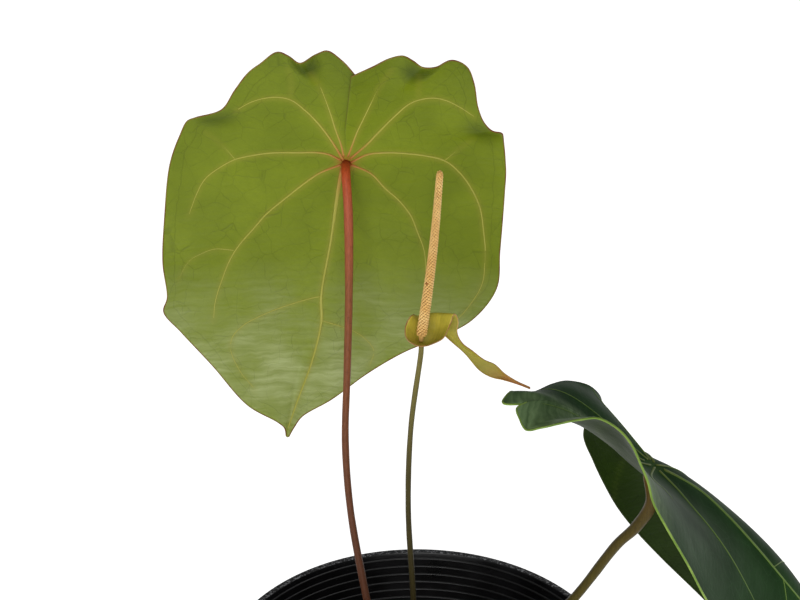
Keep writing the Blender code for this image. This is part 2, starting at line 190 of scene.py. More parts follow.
def makeStudio():
    world = bpy.data.worlds.new("softWhite")
    world.use_nodes = True
    world.node_tree.nodes["Background"].inputs["Color"].default_value = (1, 1, 1, 1)
    world.node_tree.nodes["Background"].inputs["Strength"].default_value = studio["world"]
    bpy.context.scene.world = world
    bpy.context.scene.view_settings.view_transform = "Standard"

    work = bmesh.new()
    bmesh.ops.create_grid(work, x_segments=2, y_segments=2, size=7.0)
    mesh = bpy.data.meshes.new("floor")
    work.to_mesh(mesh)
    work.free()
    paper, _, shader = startMaterial("matt white backdrop paper", 0.9, specular=0.1)
    shader.inputs["Base Color"].default_value = colour(studio["floor"])
    shader.inputs["Emission Color"].default_value = (1, 1, 1, 1)
    shader.inputs["Emission Strength"].default_value = studio["tableGlow"]
    mesh.materials.append(paper)
    floor = bpy.data.objects.new("floor", mesh)
    bpy.context.scene.collection.objects.link(floor)

    for name, place, target, width, height, watts in studio["lights"]:
        data = bpy.data.lights.new(name, "AREA")
        data.shape = "RECTANGLE"
        data.size, data.size_y = width, height
        data.energy = watts
        lamp = bpy.data.objects.new(name, data)
        lamp.location = place
        lamp.rotation_euler = (Vector(target) - Vector(place)).to_track_quat("-Z", "Y").to_euler()
        bpy.context.scene.collection.objects.link(lamp)

    data = bpy.data.cameras.new("camera")
    data.lens = studio["lens"]
    data.sensor_width = 36
    data.clip_start = 0.02
    data.clip_end = 50
    camera = bpy.data.objects.new("camera", data)
    camera.location = studio["eye"]
    camera.rotation_euler = (math.radians(90 - studio["tiltDown"]), 0, 0)
    bpy.context.scene.collection.objects.link(camera)
    bpy.context.scene.camera = camera


makeStudio()
print("studio ready")


# a nursery pot: its outside, its lip, the ribs inside it and the drain holes
pot = {
    "rim": 0.090, "base": 0.067, "height": 0.150, "wall": 0.0014, "floor": 0.0018,
    "lip": 0.0032, "lipDepth": 0.0050, "foot": 0.0020,
    "ribSpacing": 4.15 * mm, "ribHeight": 0.55 * mm, "firstRib": 3.4 * mm,
    # sections: how far up in millimetres, then how far in as a share of the rib or in millimetres
    "rib": ((-0.62, 0.0), (-0.48, 0.55), (-0.12, 0.95), (0.18, 0.95), (0.42, 0.55), (0.55, 0.0)),
    "groove": ((0.5, 0.0), (0.2, 0.16), (-0.2, 0.16), (-0.5, 0.0)),
    "holes": 8, "holeRadius": 0.005, "holeCircle": 0.045,
    "steps": 160,
}


def potMaterial():
    # injection-moulded black polypropylene: near black, a dull sheen on the ribs, a faint moulded grain
    made, tree, shader = startMaterial("moulded black polypropylene", 0.30, ior=1.49, specular=0.5)
    place = addNode(tree, "TexCoord", out="Object")
    cloudy = addNode(tree, "TexNoise", {"Vector": place, "Scale": 60, "Detail": 4})
    dust = addNode(tree, "TexNoise", {"Vector": place, "Scale": 1400, "Detail": 2})
    body = addNode(tree, "Mix", {
        0: addNode(tree, "MapRange", {0: cloudy, 1: 0.35, 2: 0.7}),
        6: colour("#030304"), 7: colour("#08080a"),
    }, out=2, data_type="RGBA")
    specks = addNode(tree, "MapRange", {0: dust, 1: 0.68, 2: 0.74, 3: 0.0, 4: 0.35})
    body = addNode(tree, "Mix", {0: specks, 6: body, 7: colour("#4a4846")}, out=2, data_type="RGBA")
    tree.links.new(body, shader.inputs["Base Color"])
    rough = addNode(tree, "MapRange", {0: cloudy, 1: 0.3, 2: 0.7, 3: 0.26, 4: 0.38})
    tree.links.new(rough, shader.inputs["Roughness"])
    bump = addNode(tree, "Bump", {"Height": dust, "Strength": 0.25, "Distance": 0.00008})
    tree.links.new(bump, shader.inputs["Normal"])
    return made


def rimMaterial():
    # the lip's top is spark-eroded and scuffed, so it scatters light in grey specks about 0.4 mm across
    made, tree, shader = startMaterial("scuffed grained polypropylene lip", 0.55, ior=1.49)
    place = addNode(tree, "TexCoord", out="Object")
    grain = addNode(tree, "TexNoise", {"Vector": place, "Scale": 620, "Detail": 4, "Roughness": 0.75})
    patch = addNode(tree, "TexNoise", {"Vector": place, "Scale": 90, "Detail": 2})
    light = addNode(tree, "Math", {
        0: addNode(tree, "MapRange", {0: grain, 1: 0.50, 2: 0.60}),
        1: addNode(tree, "MapRange", {0: patch, 1: 0.30, 2: 0.60, 3: 0.35, 4: 1.0}),
    }, operation="MULTIPLY")
    body = addNode(tree, "Mix", {
        0: light, 6: colour("#060607"), 7: colour("#8d8e91"),
    }, out=2, data_type="RGBA")
    tree.links.new(body, shader.inputs["Base Color"])
    bump = addNode(tree, "Bump", {"Height": grain, "Strength": 0.8, "Distance": 0.0004})
    tree.links.new(bump, shader.inputs["Normal"])
    return made


def insideRadius(z):
    taper = (pot["rim"] - pot["lip"] - pot["base"] + pot["wall"]) / pot["height"]
    return pot["base"] - pot["wall"] + taper * z


def makePot():
    top = pot["height"]
    profile = [(0.0, pot["floor"]), (insideRadius(pot["floor"]) - mm, pot["floor"])]
    for level in (pot["floor"] + mm, mixTop - 0.006):
        profile.append((insideRadius(level), level))
    levels = []
    z = top - pot["firstRib"]
    while z > mixTop - 0.004:
        levels.append(z)
        z -= pot["ribSpacing"]
    for z in reversed(levels):  # each rib: a small rounded bead that stands in from the wall
        for rise, stand in pot["rib"]:
            level = z + rise * mm
            profile.append((insideRadius(level) - stand * pot["ribHeight"], level))
    lip = insideRadius(top)
    profile += [(lip, top - 0.6 * mm), (lip + 0.15 * mm, top - 0.15 * mm), (lip + 0.5 * mm, top)]
    profile += [(pot["rim"] - 0.5 * mm, top), (pot["rim"] - 0.12 * mm, top - 0.2 * mm)]
    profile += [(pot["rim"], top - 0.6 * mm)]
    under = top - pot["lipDepth"]
    profile += [(pot["rim"], under + 0.5 * mm), (pot["rim"] - 0.4 * mm, under)]
    profile += [(insideRadius(under) + pot["wall"], under)]
    z = under - 2.4 * mm
    while z > 0.006:  # outside, shallow grooves back the ribs
        for rise, depth in pot["groove"]:
            level = z + rise * mm
            profile.append((insideRadius(level) + pot["wall"] - depth * mm, level))
        z -= pot["ribSpacing"]
    for i in range(7):
        angle = math.radians(15 * i)
        outer = pot["base"] - pot["foot"] * (1 - math.cos(angle))
        profile.append((outer, pot["foot"] * (1 - math.sin(angle))))
    profile.append((0.0, 0.0))

    work = spinProfile(profile, pot["steps"])
    bmesh.ops.recalc_face_normals(work, faces=work.faces)
    lipLow = top - 0.3 * mm
    for face in work.faces:
        if face.calc_center_median().z > lipLow:
            face.material_index = 1
    shell = bpy.data.meshes.new("potShell")
    work.to_mesh(shell)
    work.free()

    drill = bmesh.new()
    for i in range(pot["holes"]):
        angle = 2 * math.pi * i / pot["holes"]
        across, back = pot["holeCircle"] * math.cos(angle), pot["holeCircle"] * math.sin(angle)
        spot = Matrix.Translation((across, back, 0.001))
        bmesh.ops.create_cone(drill, cap_ends=True, segments=28, radius1=pot["holeRadius"],
                              radius2=pot["holeRadius"], depth=0.01, matrix=spot)
    drillMesh = bpy.data.meshes.new("drill")
    drill.to_mesh(drillMesh)
    drill.free()
    shellObject = bpy.data.objects.new("potShell", shell)
    drillObject = bpy.data.objects.new("drill", drillMesh)
    for thing in (shellObject, drillObject):
        bpy.context.scene.collection.objects.link(thing)
    cut = shellObject.modifiers.new("drainHoles", "BOOLEAN")
    cut.operation, cut.solver, cut.object = "DIFFERENCE", "EXACT", drillObject
    graph = bpy.context.evaluated_depsgraph_get()
    drilled = bpy.data.meshes.new_from_object(shellObject.evaluated_get(graph))
    for thing in (shellObject, drillObject):
        bpy.data.objects.remove(thing)
    work = bmesh.new()
    work.from_mesh(drilled)
    bpy.data.meshes.remove(drilled)
    piece = addPiece("pot", work, [potMaterial(), rimMaterial()], ["nursery_pot"])
    piece.data.set_sharp_from_angle(angle=math.radians(50))


makePot()
print("pot ready")


# each blade runs from its stalk's joint out to its margin; the points are millimetres from the joint
leafOne = {
    "joint": (-0.031, 0.055, 0.2705), "length": 0.190,
    "normal": (0.0, 0.966, 0.259), "fullness": (1.0, 1.0, 1.0, 1.0), "lift": (0.0, 0.0, 0.0, 0.0),
    "tip": (-28, -7, -128),
    "margin": [
        (3, -15, 42), (-2, -14, 48), (-7, -14, 52), (-11, -13, 50), (-16, -13, 46),
        (-21, -12, 49), (-26, -12, 51), (-33, -11, 46), (-38, -10, 42), (-44, -8, 34),
        (-50, -6, 25), (-59, -5, 22), (-64, -5, 20), (-68, -4, 13), (-73, -2, 0),
        (-77, 0, -24), (-79, -1, -45), (-78, -2, -61), (-80, -2, -68), (-73, -3, -77),
        (-60, -4, -93), (-45, -6, -112), (-32, -7, -120), (-29, -7, -123), (-28, -7, -128),
        (-25, -7, -123), (-21, -7, -117), (-8, -6, -109), (8, -4, -97), (24, -3, -87),
        (40, -2, -80), (54, -1, -72), (64, 0, -58), (65, -2, -39), (66, -4, -13),
        (66, -6, 1), (63, -8, 16), (58, -9, 18), (54, -10, 27), (52, -11, 38),
        (49, -12, 45), (43, -13, 48), (36, -13, 45), (30, -14, 45), (27, -14, 48),
        (24, -14, 50), (19, -14, 49), (13, -15, 46), (5, -15, 42),
    ],
    "around": 361, "rings": 84, "thick": 0.45 * mm,
    # veins: half width at the joint and at the end, then points right and up of the joint
    "right": (1, 0, 0), "up": (0, 0, 1),
    "veins": [
        (1.29, 0.43, [
            (-1, -1), (-3, -11), (-7, -37), (-12, -64), (-12, -75), (-16, -92), (-23, -111), (-28, -125),
        ]),
        (0.95, 0.32, [(-1, 1), (-6, 11), (-11, 19), (-16, 25), (-22, 30), (-29, 31), (-37, 29), (-44, 25)]),
        (0.36, 0.22, [(-22, 30), (-21, 38), (-22, 44)]),
        (0.92, 0.28, [
            (-2, 1), (-7, 4), (-12, 5), (-20, 5), (-30, 5), (-38, 4), (-46, 2), (-53, -2), (-59, -7),
            (-63, -14), (-67, -24),
        ]),
        (0.36, 0.22, [(-46, 2), (-51, 9), (-57, 15)]),
        (0.95, 0.29, [
            (-2, -1), (-11, -5), (-19, -11), (-26, -17), (-34, -24), (-40, -31), (-46, -38), (-50, -44),
            (-54, -53), (-58, -65), (-59, -73),
        ]),
        (0.36, 0.22, [(-49, -41), (-57, -40), (-63, -42), (-68, -45), (-73, -53)]),
        (0.46, 0.24, [
            (-12, -64), (-20, -66), (-30, -69), (-38, -72), (-46, -76), (-51, -81), (-52, -86),
            (-48, -97), (-42, -105),
        ]),
        (0.43, 0.24, [(-12, -75), (-4, -77), (2, -79), (7, -82), (11, -87), (9, -94)]),
        (0.95, 0.32, [
            (2, 2), (9, 9), (14, 15), (20, 22), (26, 28), (30, 30), (36, 31), (41, 30), (47, 27),
            (53, 23),
        ]),
        (0.36, 0.22, [(30, 30), (30, 37), (30, 43)]),
        (0.92, 0.28, [
            (2, 0), (9, 4), (16, 5), (23, 5), (33, 4), (41, 2), (47, -3), (52, -10), (56, -19), (58, -31),
            (59, -42), (58, -56), (52, -67), (44, -76),
        ]),
        (0.36, 0.22, [(41, 2), (47, 8), (52, 13)]),
        (0.92, 0.29, [(2, -1), (10, -5), (16, -12), (22, -18), (27, -25), (30, -33), (33, -42), (34, -56)]),
        (0.70, 0.28, [(-1, 3), (-2, 9), (-4, 16), (-6, 24), (-8, 31), (-10, 37), (-13, 43)]),
        (0.70, 0.28, [(1, 3), (3, 9), (5, 15), (8, 22), (11, 29), (14, 36), (19, 44)]),
    ],
    "veinSide": "under",
    # where the margin rolls towards the front: right and up of the joint, half width, how far
    "rolls": [((-16, 47), 6.0, 4.6), ((31, 46), 6.0, 4.6), ((-56, 22), 6.0, 3.0), ((60, 18), 5.0, 3.0)],
    "overlap": 3.8, "lapDepth": 1.2, "edge": 0.3,
}

leafTwo = {
    "joint": (0.093, -0.022, 0.1706), "length": 0.238,
    "normal": (0.50, -0.08, 0.80), "fullness": (1.21, 0.88, 1.05, 1.0),
    "lift": (0.0108, -0.0062, 0.0114, 0.0220),
    "tip": (92, -8, -132),
    "margin": [
        (-54, -17, 38), (-58, -20, 37), (-57, -24, 35), (-55, -30, 34), (-50, -39, 40),
        (-45, -50, 48), (-39, -61, 56), (-33, -69, 61), (-27, -75, 60), (-23, -78, 56),
        (-20, -80, 50), (-17, -81, 43), (-15, -82, 36), (-9, -81, 24), (0, -78, 7),
        (9, -72, -12), (30, -54, -51), (59, -31, -92), (92, -8, -132), (77, 12, -122),
        (52, 28, -108), (33, 36, -90), (15, 41, -73), (3, 43, -60), (-6, 44, -48),
        (-13, 44, -35), (-18, 44, -24), (-23, 42, -10), (-21, 42, -1), (-17, 40, 7),
        (-22, 36, 16), (-32, 30, 22), (-40, 20, 26), (-48, 10, 28), (-55, 0, 33),
        (-59, -8, 38), (-62, -16, 38), (-61, -17, 38), (-53, -15, 37),
    ],
    "around": 361, "rings": 84, "thick": 0.5 * mm,
    "right": (-0.203, -0.969, -0.140), "up": (-0.832, 0.096, 0.546),
    "veins": [
        (0.95, 0.30, [(0, 0), (-3, -12), (-4, -24), (1, -38), (6, -52), (9, -70), (7, -100), (1, -136)]),
        (0.62, 0.20, [(1, -1), (8, -11), (16, -18), (24, -29), (31, -45), (34, -62)]),
        (0.60, 0.18, [(2, 0), (16, 4), (30, 5), (42, 3)]),
        (0.55, 0.18, [(2, 2), (13, 16), (25, 30), (38, 42), (50, 46)]),
        (0.42, 0.18, [(1, 3), (8, 22), (14, 42), (20, 58)]),
        (0.42, 0.18, [(-1, 3), (-3, 22), (-4, 42), (-6, 56)]),
        (0.55, 0.18, [(-2, 2), (-12, 14), (-22, 26), (-32, 30)]),
        (0.60, 0.18, [(-2, 0), (-14, 2), (-25, 1), (-33, -8), (-36, -24), (-36, -44)]),
        (0.60, 0.18, [(-1, -1), (-10, -12), (-18, -24), (-25, -40), (-29, -60)]),
        (0.34, 0.15, [(8, -64), (-4, -72), (-16, -84), (-20, -98)]),
        (0.34, 0.15, [(9, -70), (20, -78), (28, -88), (26, -100)]),
        (0.28, 0.14, [(7, -94), (-4, -104), (-8, -118)]),
        (0.28, 0.14, [(7, -94), (13, -104), (12, -118)]),
    ],
    "veinSide": "upper",
    "rolls": [],
    "overlap": 2.2, "lapDepth": 1.0, "edge": 0.42,
}


def softened(values, reach):
    offsets = np.arange(-3 * reach, 3 * reach + 1)
    weight = np.exp(-0.5 * (offsets / reach) ** 2)
    weight /= weight.sum()
    before = 2 * values[:1] - values[1:3 * reach + 1][::-1]
    after = 2 * values[-1:] - values[-3 * reach - 1:-1][::-1]
    padded = np.concatenate([before, values, after])
    return np.stack([np.convolve(column, weight, "valid") for column in padded.T], axis=-1)


def bladeSurface(leaf, outward):
    # rows of points from the joint out to the margin, in metres from the joint
    margin = np.array(leaf["margin"], float)
    scale = leaf["length"] / np.linalg.norm(margin - leaf["tip"], axis=1).max()
    normal = np.array(leaf["normal"]) / np.linalg.norm(leaf["normal"])
    margin = smoothPath(margin * scale, leaf["around"])
    calm = softened(margin, round(leaf["around"] / 45))
    flat = calm - np.outer(calm @ normal, normal)
    reach = np.linalg.norm(calm, axis=1)
    flat /= np.linalg.norm(flat, axis=1)[:, None]
    tipward = np.array(leaf["tip"], float)
    tipward -= (tipward @ normal) * normal
    tipward /= np.linalg.norm(tipward)
    along = flat @ tipward
    across = flat @ np.cross(normal, tipward)
    share = np.stack([along.clip(0) ** 2, across.clip(0) ** 2, (-along).clip(0) ** 2, (-across).clip(0) ** 2])
    fullness = np.array(leaf["fullness"]) @ share
    lift = np.array(leaf["lift"]) @ share * scale / mm
    control = 0.5 * (reach * fullness)[:, None] * flat
    raised = np.outer(lift, (0.0, 0.0, 1.0))
    f = outward[None, :, None]
    surface = 2 * f * (1 - f) * control[:, None] + f**2 * calm[:, None]
    surface = surface + 4 * f**2 * (1 - f) * raised[:, None] + f**5 * (margin - calm)[:, None]

    right, up = np.array(leaf["right"], float), np.array(leaf["up"], float)
    look = np.cross(up, right)  # through the blade, from the underside to the upper side
    rollShade = np.zeros((leaf["around"], len(outward)))
    for (sideways, upward), width, roll in leaf["rolls"]:
        spot = (right * sideways + up * upward) * mm
        apart = np.linalg.norm((margin - spot) - np.outer((margin - spot) @ look, look), axis=1)
        centre = apart.argmin()
        walked = np.concatenate([[0.0], np.cumsum(np.linalg.norm(np.diff(margin, axis=0), axis=1))])
        weight = np.exp(-((walked - walked[centre]) / (width * mm)) ** 2)
        outer = ((f - 0.74) / 0.26).clip(0)
        bend = roll * mm * weight[:, None, None] * (outer**1.6 * -look + 0.55 * outer**2.5 * flat[:, None])
        surface = surface + bend
        # a mask that carries painted shade into the hollow under each rolled margin
        band = np.exp(-((outward[None] - 0.93) / 0.09) ** 2)
        rollShade = rollShade + weight[:, None] ** 0.5 * band * min(1.0, roll / 4)

    # the lobes lap over each other along the sinus
    count = leaf["around"]
    place = np.linspace(0, 1, count)
    lap = np.exp(-(place / 0.03) ** 2) - np.exp(-((1 - place) / 0.03) ** 2)
    grow = ((f - 0.08) / 0.3).clip(0, 1)
    towardsOther = surface[-1:, :, :] - surface[:1, :, :]
    gapDirection = towardsOther / np.maximum(np.linalg.norm(towardsOther, axis=-1, keepdims=True), 1e-6)
    step = (gapDirection * leaf["overlap"] * mm * 0.5) * lap[:, None, None]
    surface = surface + grow * (step + look * leaf["lapDepth"] * mm * 0.5 * lap[:, None, None])
    return surface, look, rollShade


def leafSkin(name, look):
    # living leaf tissue: a waxy skin over finely veined green flesh, softly glossy where it faces a light
    made, tree, shader = startMaterial(name, look["roughness"], ior=1.42, specular=look["gloss"])
    sheet = addNode(tree, "UVMap", uv_map="leafMap")
    patches = addNode(tree, "TexNoise", {"Vector": sheet, "Scale": 34, "Detail": 3})
    mottle = addNode(tree, "TexNoise", {"Vector": sheet, "Scale": 420, "Detail": 3})
    wander = addNode(tree, "TexNoise", {"Vector": sheet, "Scale": 150, "Detail": 2}, out="Color")
    bent = addNode(tree, "VectorMath", {
        0: wander, 1: (0.0035, 0.0035, 0.0), 2: sheet,
    }, operation="MULTIPLY_ADD")
    base = addNode(tree, "Mix", {
        0: addNode(tree, "MapRange", {0: patches, 1: 0.35, 2: 0.68}),
        6: colour(look["green"]), 7: colour(look["deep"]),
    }, out=2, data_type="RGBA")
    base = addNode(tree, "Mix", {
        0: addNode(tree, "MapRange", {0: mottle, 1: 0.35, 2: 0.75, 3: 0.0, 4: 0.35}),
        6: base, 7: colour(look["deep"]),
    }, out=2, data_type="RGBA")

    # the net of small veins, meshes about 6 mm across, drawn 0.3 mm wide and broken up
    cells = addNode(tree, "TexVoronoi", {"Vector": bent, "Scale": 125}, feature="DISTANCE_TO_EDGE")
    lines = addNode(tree, "MapRange", {0: cells, 1: 0.004, 2: 0.020, 3: 1.0, 4: 0.0})
    broken = addNode(tree, "TexNoise", {"Vector": sheet, "Scale": 75, "Detail": 1})
    lines = addNode(tree, "Math", {
        0: lines,
        1: addNode(tree, "MapRange", {0: broken, 1: 0.34, 2: 0.60, 3: 0.15, 4: 1.0}),
    }, operation="MULTIPLY")
    small = addNode(tree, "TexVoronoi", {"Vector": bent, "Scale": 620}, feature="DISTANCE_TO_EDGE")
    smallLines = addNode(tree, "MapRange", {0: small, 1: 0.02, 2: 0.09, 3: 1.0, 4: 0.0})
    # a gathering vein follows the margin about 5 mm in
    inward = addNode(tree, "Attribute", attribute_name="fromMargin", out="Fac")
    wobble = addNode(tree, "MapRange", {
        0: addNode(tree, "TexNoise", {"Vector": sheet, "Scale": 90, "Detail": 2}),
        1: 0.2, 2: 0.8, 3: -0.0016, 4: 0.0016,
    })
    offLine = addNode(tree, "Math", {
        0: addNode(tree, "Math", {
            0: addNode(tree, "Math", {0: inward, 1: wobble}, operation="ADD"),
            1: 0.0052,
        }, operation="SUBTRACT"),
    }, operation="ABSOLUTE")
    lines = addNode(tree, "Math", {
        0: lines,
        1: addNode(tree, "MapRange", {0: offLine, 1: 0.00008, 2: 0.00028, 3: 0.8, 4: 0.0}),
    }, operation="MAXIMUM")
    base = addNode(tree, "Mix", {
        0: addNode(tree, "Math", {0: lines, 1: look["net"]}, operation="MULTIPLY"),
        6: base, 7: colour(look["netColour"]),
    }, out=2, data_type="RGBA")
    base = addNode(tree, "Mix", {
        0: addNode(tree, "Math", {0: smallLines, 1: look["net"] * 0.22}, operation="MULTIPLY"),
        6: base, 7: colour(look["netColour"]),
    }, out=2, data_type="RGBA")

    # painted shade: darker over the lobes and in the hollows under the rolled margins; and a painted sheen:
    # pale fine cross streaks in a band set for each side, towards the tip on leaf 1's underside
    upward = addNode(tree, "SeparateXYZ", {"Vector": bent}, out="Y")
    paintedShade = addNode(tree, "Math", {
        0: addNode(tree, "MapRange", {0: upward, 1: 0.024, 2: 0.050}),
        1: look["paintedShadeShare"],
    }, operation="MULTIPLY")
    rollShades = addNode(tree, "Attribute", attribute_name="paintedRollShade", out="Fac")
    paintedShade = addNode(tree, "Math", {
        0: paintedShade,
        1: addNode(tree, "Math", {0: rollShades, 1: look["rollShadeShare"]}, operation="MULTIPLY"),
    }, operation="MAXIMUM")
    base = addNode(tree, "Mix", {0: paintedShade, 6: base, 7: colour(look["paintedShade"])}, out=2, data_type="RGBA")
    crossed = addNode(tree, "Mapping", {"Vector": bent, "Scale": (0.10, 1.0, 1.0)})
    streaks = addNode(tree, "TexNoise", {"Vector": crossed, "Scale": 520, "Detail": 3})
    # the painted sheen's mask: a band on the blade, broken into streaks and patches
    paintedSheen = addNode(tree, "Math", {
        0: addNode(tree, "MapRange", {0: upward, 1: look["paintedSheenUp"][0], 2: look["paintedSheenUp"][1]}),
        1: addNode(tree, "MapRange", {0: streaks, 1: 0.30, 2: 0.72, 3: 0.35, 4: 1.0}),
    }, operation="MULTIPLY")
    paintedSheen = addNode(tree, "Math", {
        0: paintedSheen,
        1: addNode(tree, "MapRange", {
            0: addNode(tree, "SeparateXYZ", {"Vector": bent}, out="X"),
            1: look["paintedSheenAcross"][0], 2: look["paintedSheenAcross"][1],
        }),
    }, operation="MULTIPLY")
    paintedSheen = addNode(tree, "Math", {
        0: paintedSheen,
        1: addNode(tree, "MapRange", {0: patches, 1: 0.36, 2: 0.62, 3: 0.25, 4: 1.0}),
    }, operation="MULTIPLY")
    base = addNode(tree, "Mix", {
        0: addNode(tree, "Math", {0: paintedSheen, 1: look["paintedSheenShare"]}, operation="MULTIPLY"),
        6: base, 7: colour(look["paintedSheen"]),
    }, out=2, data_type="RGBA")
    nearVein = addNode(tree, "Attribute", attribute_name="nearVein", out="Fac")
    base = addNode(tree, "Mix", {
        0: addNode(tree, "Math", {0: nearVein, 1: look["halo"]}, operation="MULTIPLY"),
        6: base, 7: colour(look["veinColour"]),
    }, out=2, data_type="RGBA")
    joint = addNode(tree, "Attribute", attribute_name="nearJoint", out="Fac")
    base = addNode(tree, "Mix", {
        0: addNode(tree, "Math", {0: joint, 1: look["jointShare"]}, operation="MULTIPLY"),
        6: base, 7: colour(look["jointColour"]),
    }, out=2, data_type="RGBA")
    tree.links.new(base, shader.inputs["Base Color"])
    rough = addNode(tree, "MapRange", {
        0: patches, 1: 0.3, 2: 0.7, 3: look["roughness"] - 0.05, 4: look["roughness"] + 0.06,
    })
    tree.links.new(rough, shader.inputs["Roughness"])

    # fine creases across the blade, a little over 1 mm apart
    stretched = addNode(tree, "Mapping", {"Vector": bent, "Scale": (0.22, 1.0, 1.0)})
    creases = addNode(tree, "TexNoise", {"Vector": stretched, "Scale": 620, "Detail": 2})
    rolling = addNode(tree, "TexNoise", {"Vector": stretched, "Scale": 110, "Detail": 2})
    height = addNode(tree, "Math", {0: rolling, 1: 3.0, 2: creases}, operation="MULTIPLY_ADD")
    height = addNode(tree, "Math", {0: lines, 1: -0.4, 2: height}, operation="MULTIPLY_ADD")
    bump = addNode(tree, "Bump", {"Height": height, "Strength": look["bump"], "Distance": 0.0004})
    tree.links.new(bump, shader.inputs["Normal"])
    return made


def veinSkin(name, near, far, roughness):
    # veins are smooth raised cords, waxy like the blade and warmer towards the stalk
    made, tree, shader = startMaterial(name, roughness, ior=1.42, specular=0.4)
    joint = addNode(tree, "Attribute", attribute_name="nearJoint", out="Fac")
    place = addNode(tree, "TexCoord", out="Object")
    cloudy = addNode(tree, "TexNoise", {"Vector": place, "Scale": 260, "Detail": 2})
    body = addNode(tree, "Mix", {0: joint, 6: colour(far), 7: colour(near)}, out=2, data_type="RGBA")
    body = addNode(tree, "Mix", {
        0: addNode(tree, "MapRange", {0: cloudy, 1: 0.3, 2: 0.75, 3: 0.0, 4: 0.25}),
        6: body, 7: colour(far),
    }, out=2, data_type="RGBA")
    tree.links.new(body, shader.inputs["Base Color"])
    bump = addNode(tree, "Bump", {"Height": cloudy, "Strength": 0.2, "Distance": 0.0001})
    tree.links.new(bump, shader.inputs["Normal"])
    return made


def growLeaf(name, leaf, skins, nodes):
    joint = Vector(leaf["joint"]) + crown
    outward = np.linspace(0.0, 1.0, leaf["rings"] + 1)[1:] ** 0.92
    surface, look, rollShade = bladeSurface(leaf, outward)
    right, up = Vector(leaf["right"]), Vector(leaf["up"])
    through = Vector(look)
    around, rings = leaf["around"], leaf["rings"]
    stride = np.linalg.norm(np.diff(surface, axis=1, prepend=0), axis=-1)
    length = np.cumsum(stride, axis=1)
    inward = length[:, -1:] - length
    heading = np.arctan2(surface @ np.array(leaf["up"]), surface @ np.array(leaf["right"]))

    work = bmesh.new()
    bmesh.ops.create_grid(work, x_segments=around - 1, y_segments=rings - 1, size=1.0)
    work.verts.ensure_lookup_table()
    places = [((v.co.x + 1) / 2 * (around - 1), (v.co.y + 1) / 2 * (rings - 1)) for v in work.verts]
    grid = [(round(i), round(j)) for i, j in places]
    for vert, (i, j) in zip(work.verts, grid):
        vert.co = Vector(surface[i, j]) + joint
    tree = BVHTree.FromBMesh(work)

    # veins: half-sunk cords that follow the blade
    veins = bmesh.new()
    stations = []
    for wide, narrow, points in leaf["veins"]:
        line, ups, halfs = [], [], []
        flatLine = smoothPath([(x, y, 0) for x, y in points], max(10, 7 * len(points)))
        for k, (x, y, _) in enumerate(flatLine):
            start = joint + (right * x + up * y) * mm - through * 0.3
            hit, facing, _, _ = tree.ray_cast(start, through)
            if hit is None:
                continue
            facing = -facing if facing.dot(through) > 0 else facing
            half = (wide + (narrow - wide) * (k / (len(flatLine) - 1)) ** 0.7) * mm
            high = 0.62 * half
            proud = max(leaf["thick"] / 2 - 0.2 * high, high - leaf["thick"] / 2 + 0.05 * mm)
            line.append(hit + facing * proud)
            ups.append(facing)
            halfs.append(half)
            stations.append((hit, half))
        if len(line) > 3:
            halfs[-1] *= 0.4
            if leaf["veinSide"] == "upper":
                line = [spot - facing * (leaf["thick"] + 0.1 * mm) for spot, facing in zip(line, ups)]
            addTube(veins, line, halfs, [0.62 * half for half in halfs], ups, sides=8)
    nearest = KDTree(len(stations))
    for k, (spot, _) in enumerate(stations):
        nearest.insert(spot, k)
    nearest.balance()

    nearVein = work.verts.layers.float.new("nearVein")
    fromMargin = work.verts.layers.float.new("fromMargin")
    nearJoint = work.verts.layers.float.new("nearJoint")
    # a layer of painted shade for the hollows under the rolled margins
    paintedRollShade = work.verts.layers.float.new("paintedRollShade")
    for vert, (i, j) in zip(work.verts, grid):
        _, k, distance = nearest.find(vert.co)
        clear = max(0.0, distance - stations[k][1])
        vert[nearVein] = math.exp(-(clear / 0.0011) ** 2) * min(1.0, stations[k][1] / 0.0005)
        vert[fromMargin] = inward[i, j]
        vert[paintedRollShade] = rollShade[i, j]
        vert[nearJoint] = math.exp(-((vert.co - joint).length / 0.0032) ** 2)
    leafMap = work.loops.layers.uv.new("leafMap")
    rows = {vert: spot for vert, spot in zip(work.verts, grid)}
    for face in work.faces:
        for loop in face.loops:
            i, j = rows[loop.vert]
            angle = heading[i, j]
            loop[leafMap].uv = (length[i, j] * math.cos(angle), length[i, j] * math.sin(angle))

    # close the hole round the joint and the first stretch of the sinus
    byPlace = {spot: vert for vert, spot in zip(work.verts, grid)}
    closedRows = range(7)
    for j in closedRows:
        first, last = byPlace[(0, j)], byPlace[(around - 1, j)]
        first.co = last.co = (first.co + last.co) / 2
    seam = [byPlace[(i, j)] for i in (0, around - 1) for j in closedRows]
    bmesh.ops.remove_doubles(work, verts=seam, dist=0.000001)
    inner = [byPlace[(i, 0)] for i in range(around) if byPlace[(i, 0)].is_valid]
    bmesh.ops.pointmerge(work, verts=inner, merge_co=joint)
    outerFace = max(work.faces, key=lambda face: face.calc_area())
    if outerFace.normal.dot(through) > 0:
        bmesh.ops.reverse_faces(work, faces=work.faces)
    blade = addPiece(name, work, skins[:3], nodes, recalc=False)
    shell = blade.modifiers.new("thickness", "SOLIDIFY")
    shell.thickness = leaf["thick"]
    shell.offset = 0.0
    shell.material_offset = 1
    shell.material_offset_rim = 2

    warm = veins.verts.layers.float.new("nearJoint")
    for vert in veins.verts:
        vert[warm] = math.exp(-((vert.co - joint).length / 0.012) ** 2)
    addPiece(name + "Veins", veins, [skins[3]], ())

    # the margin's rounded, coloured edge
    edge = bmesh.new()
    border = smoothPath(surface[:, -1], 700)
    addTube(edge, [Vector(p) + joint for p in border], [leaf["edge"] * mm] * len(border), sides=6)
    addPiece(name + "Margin", edge, [skins[2]], ())
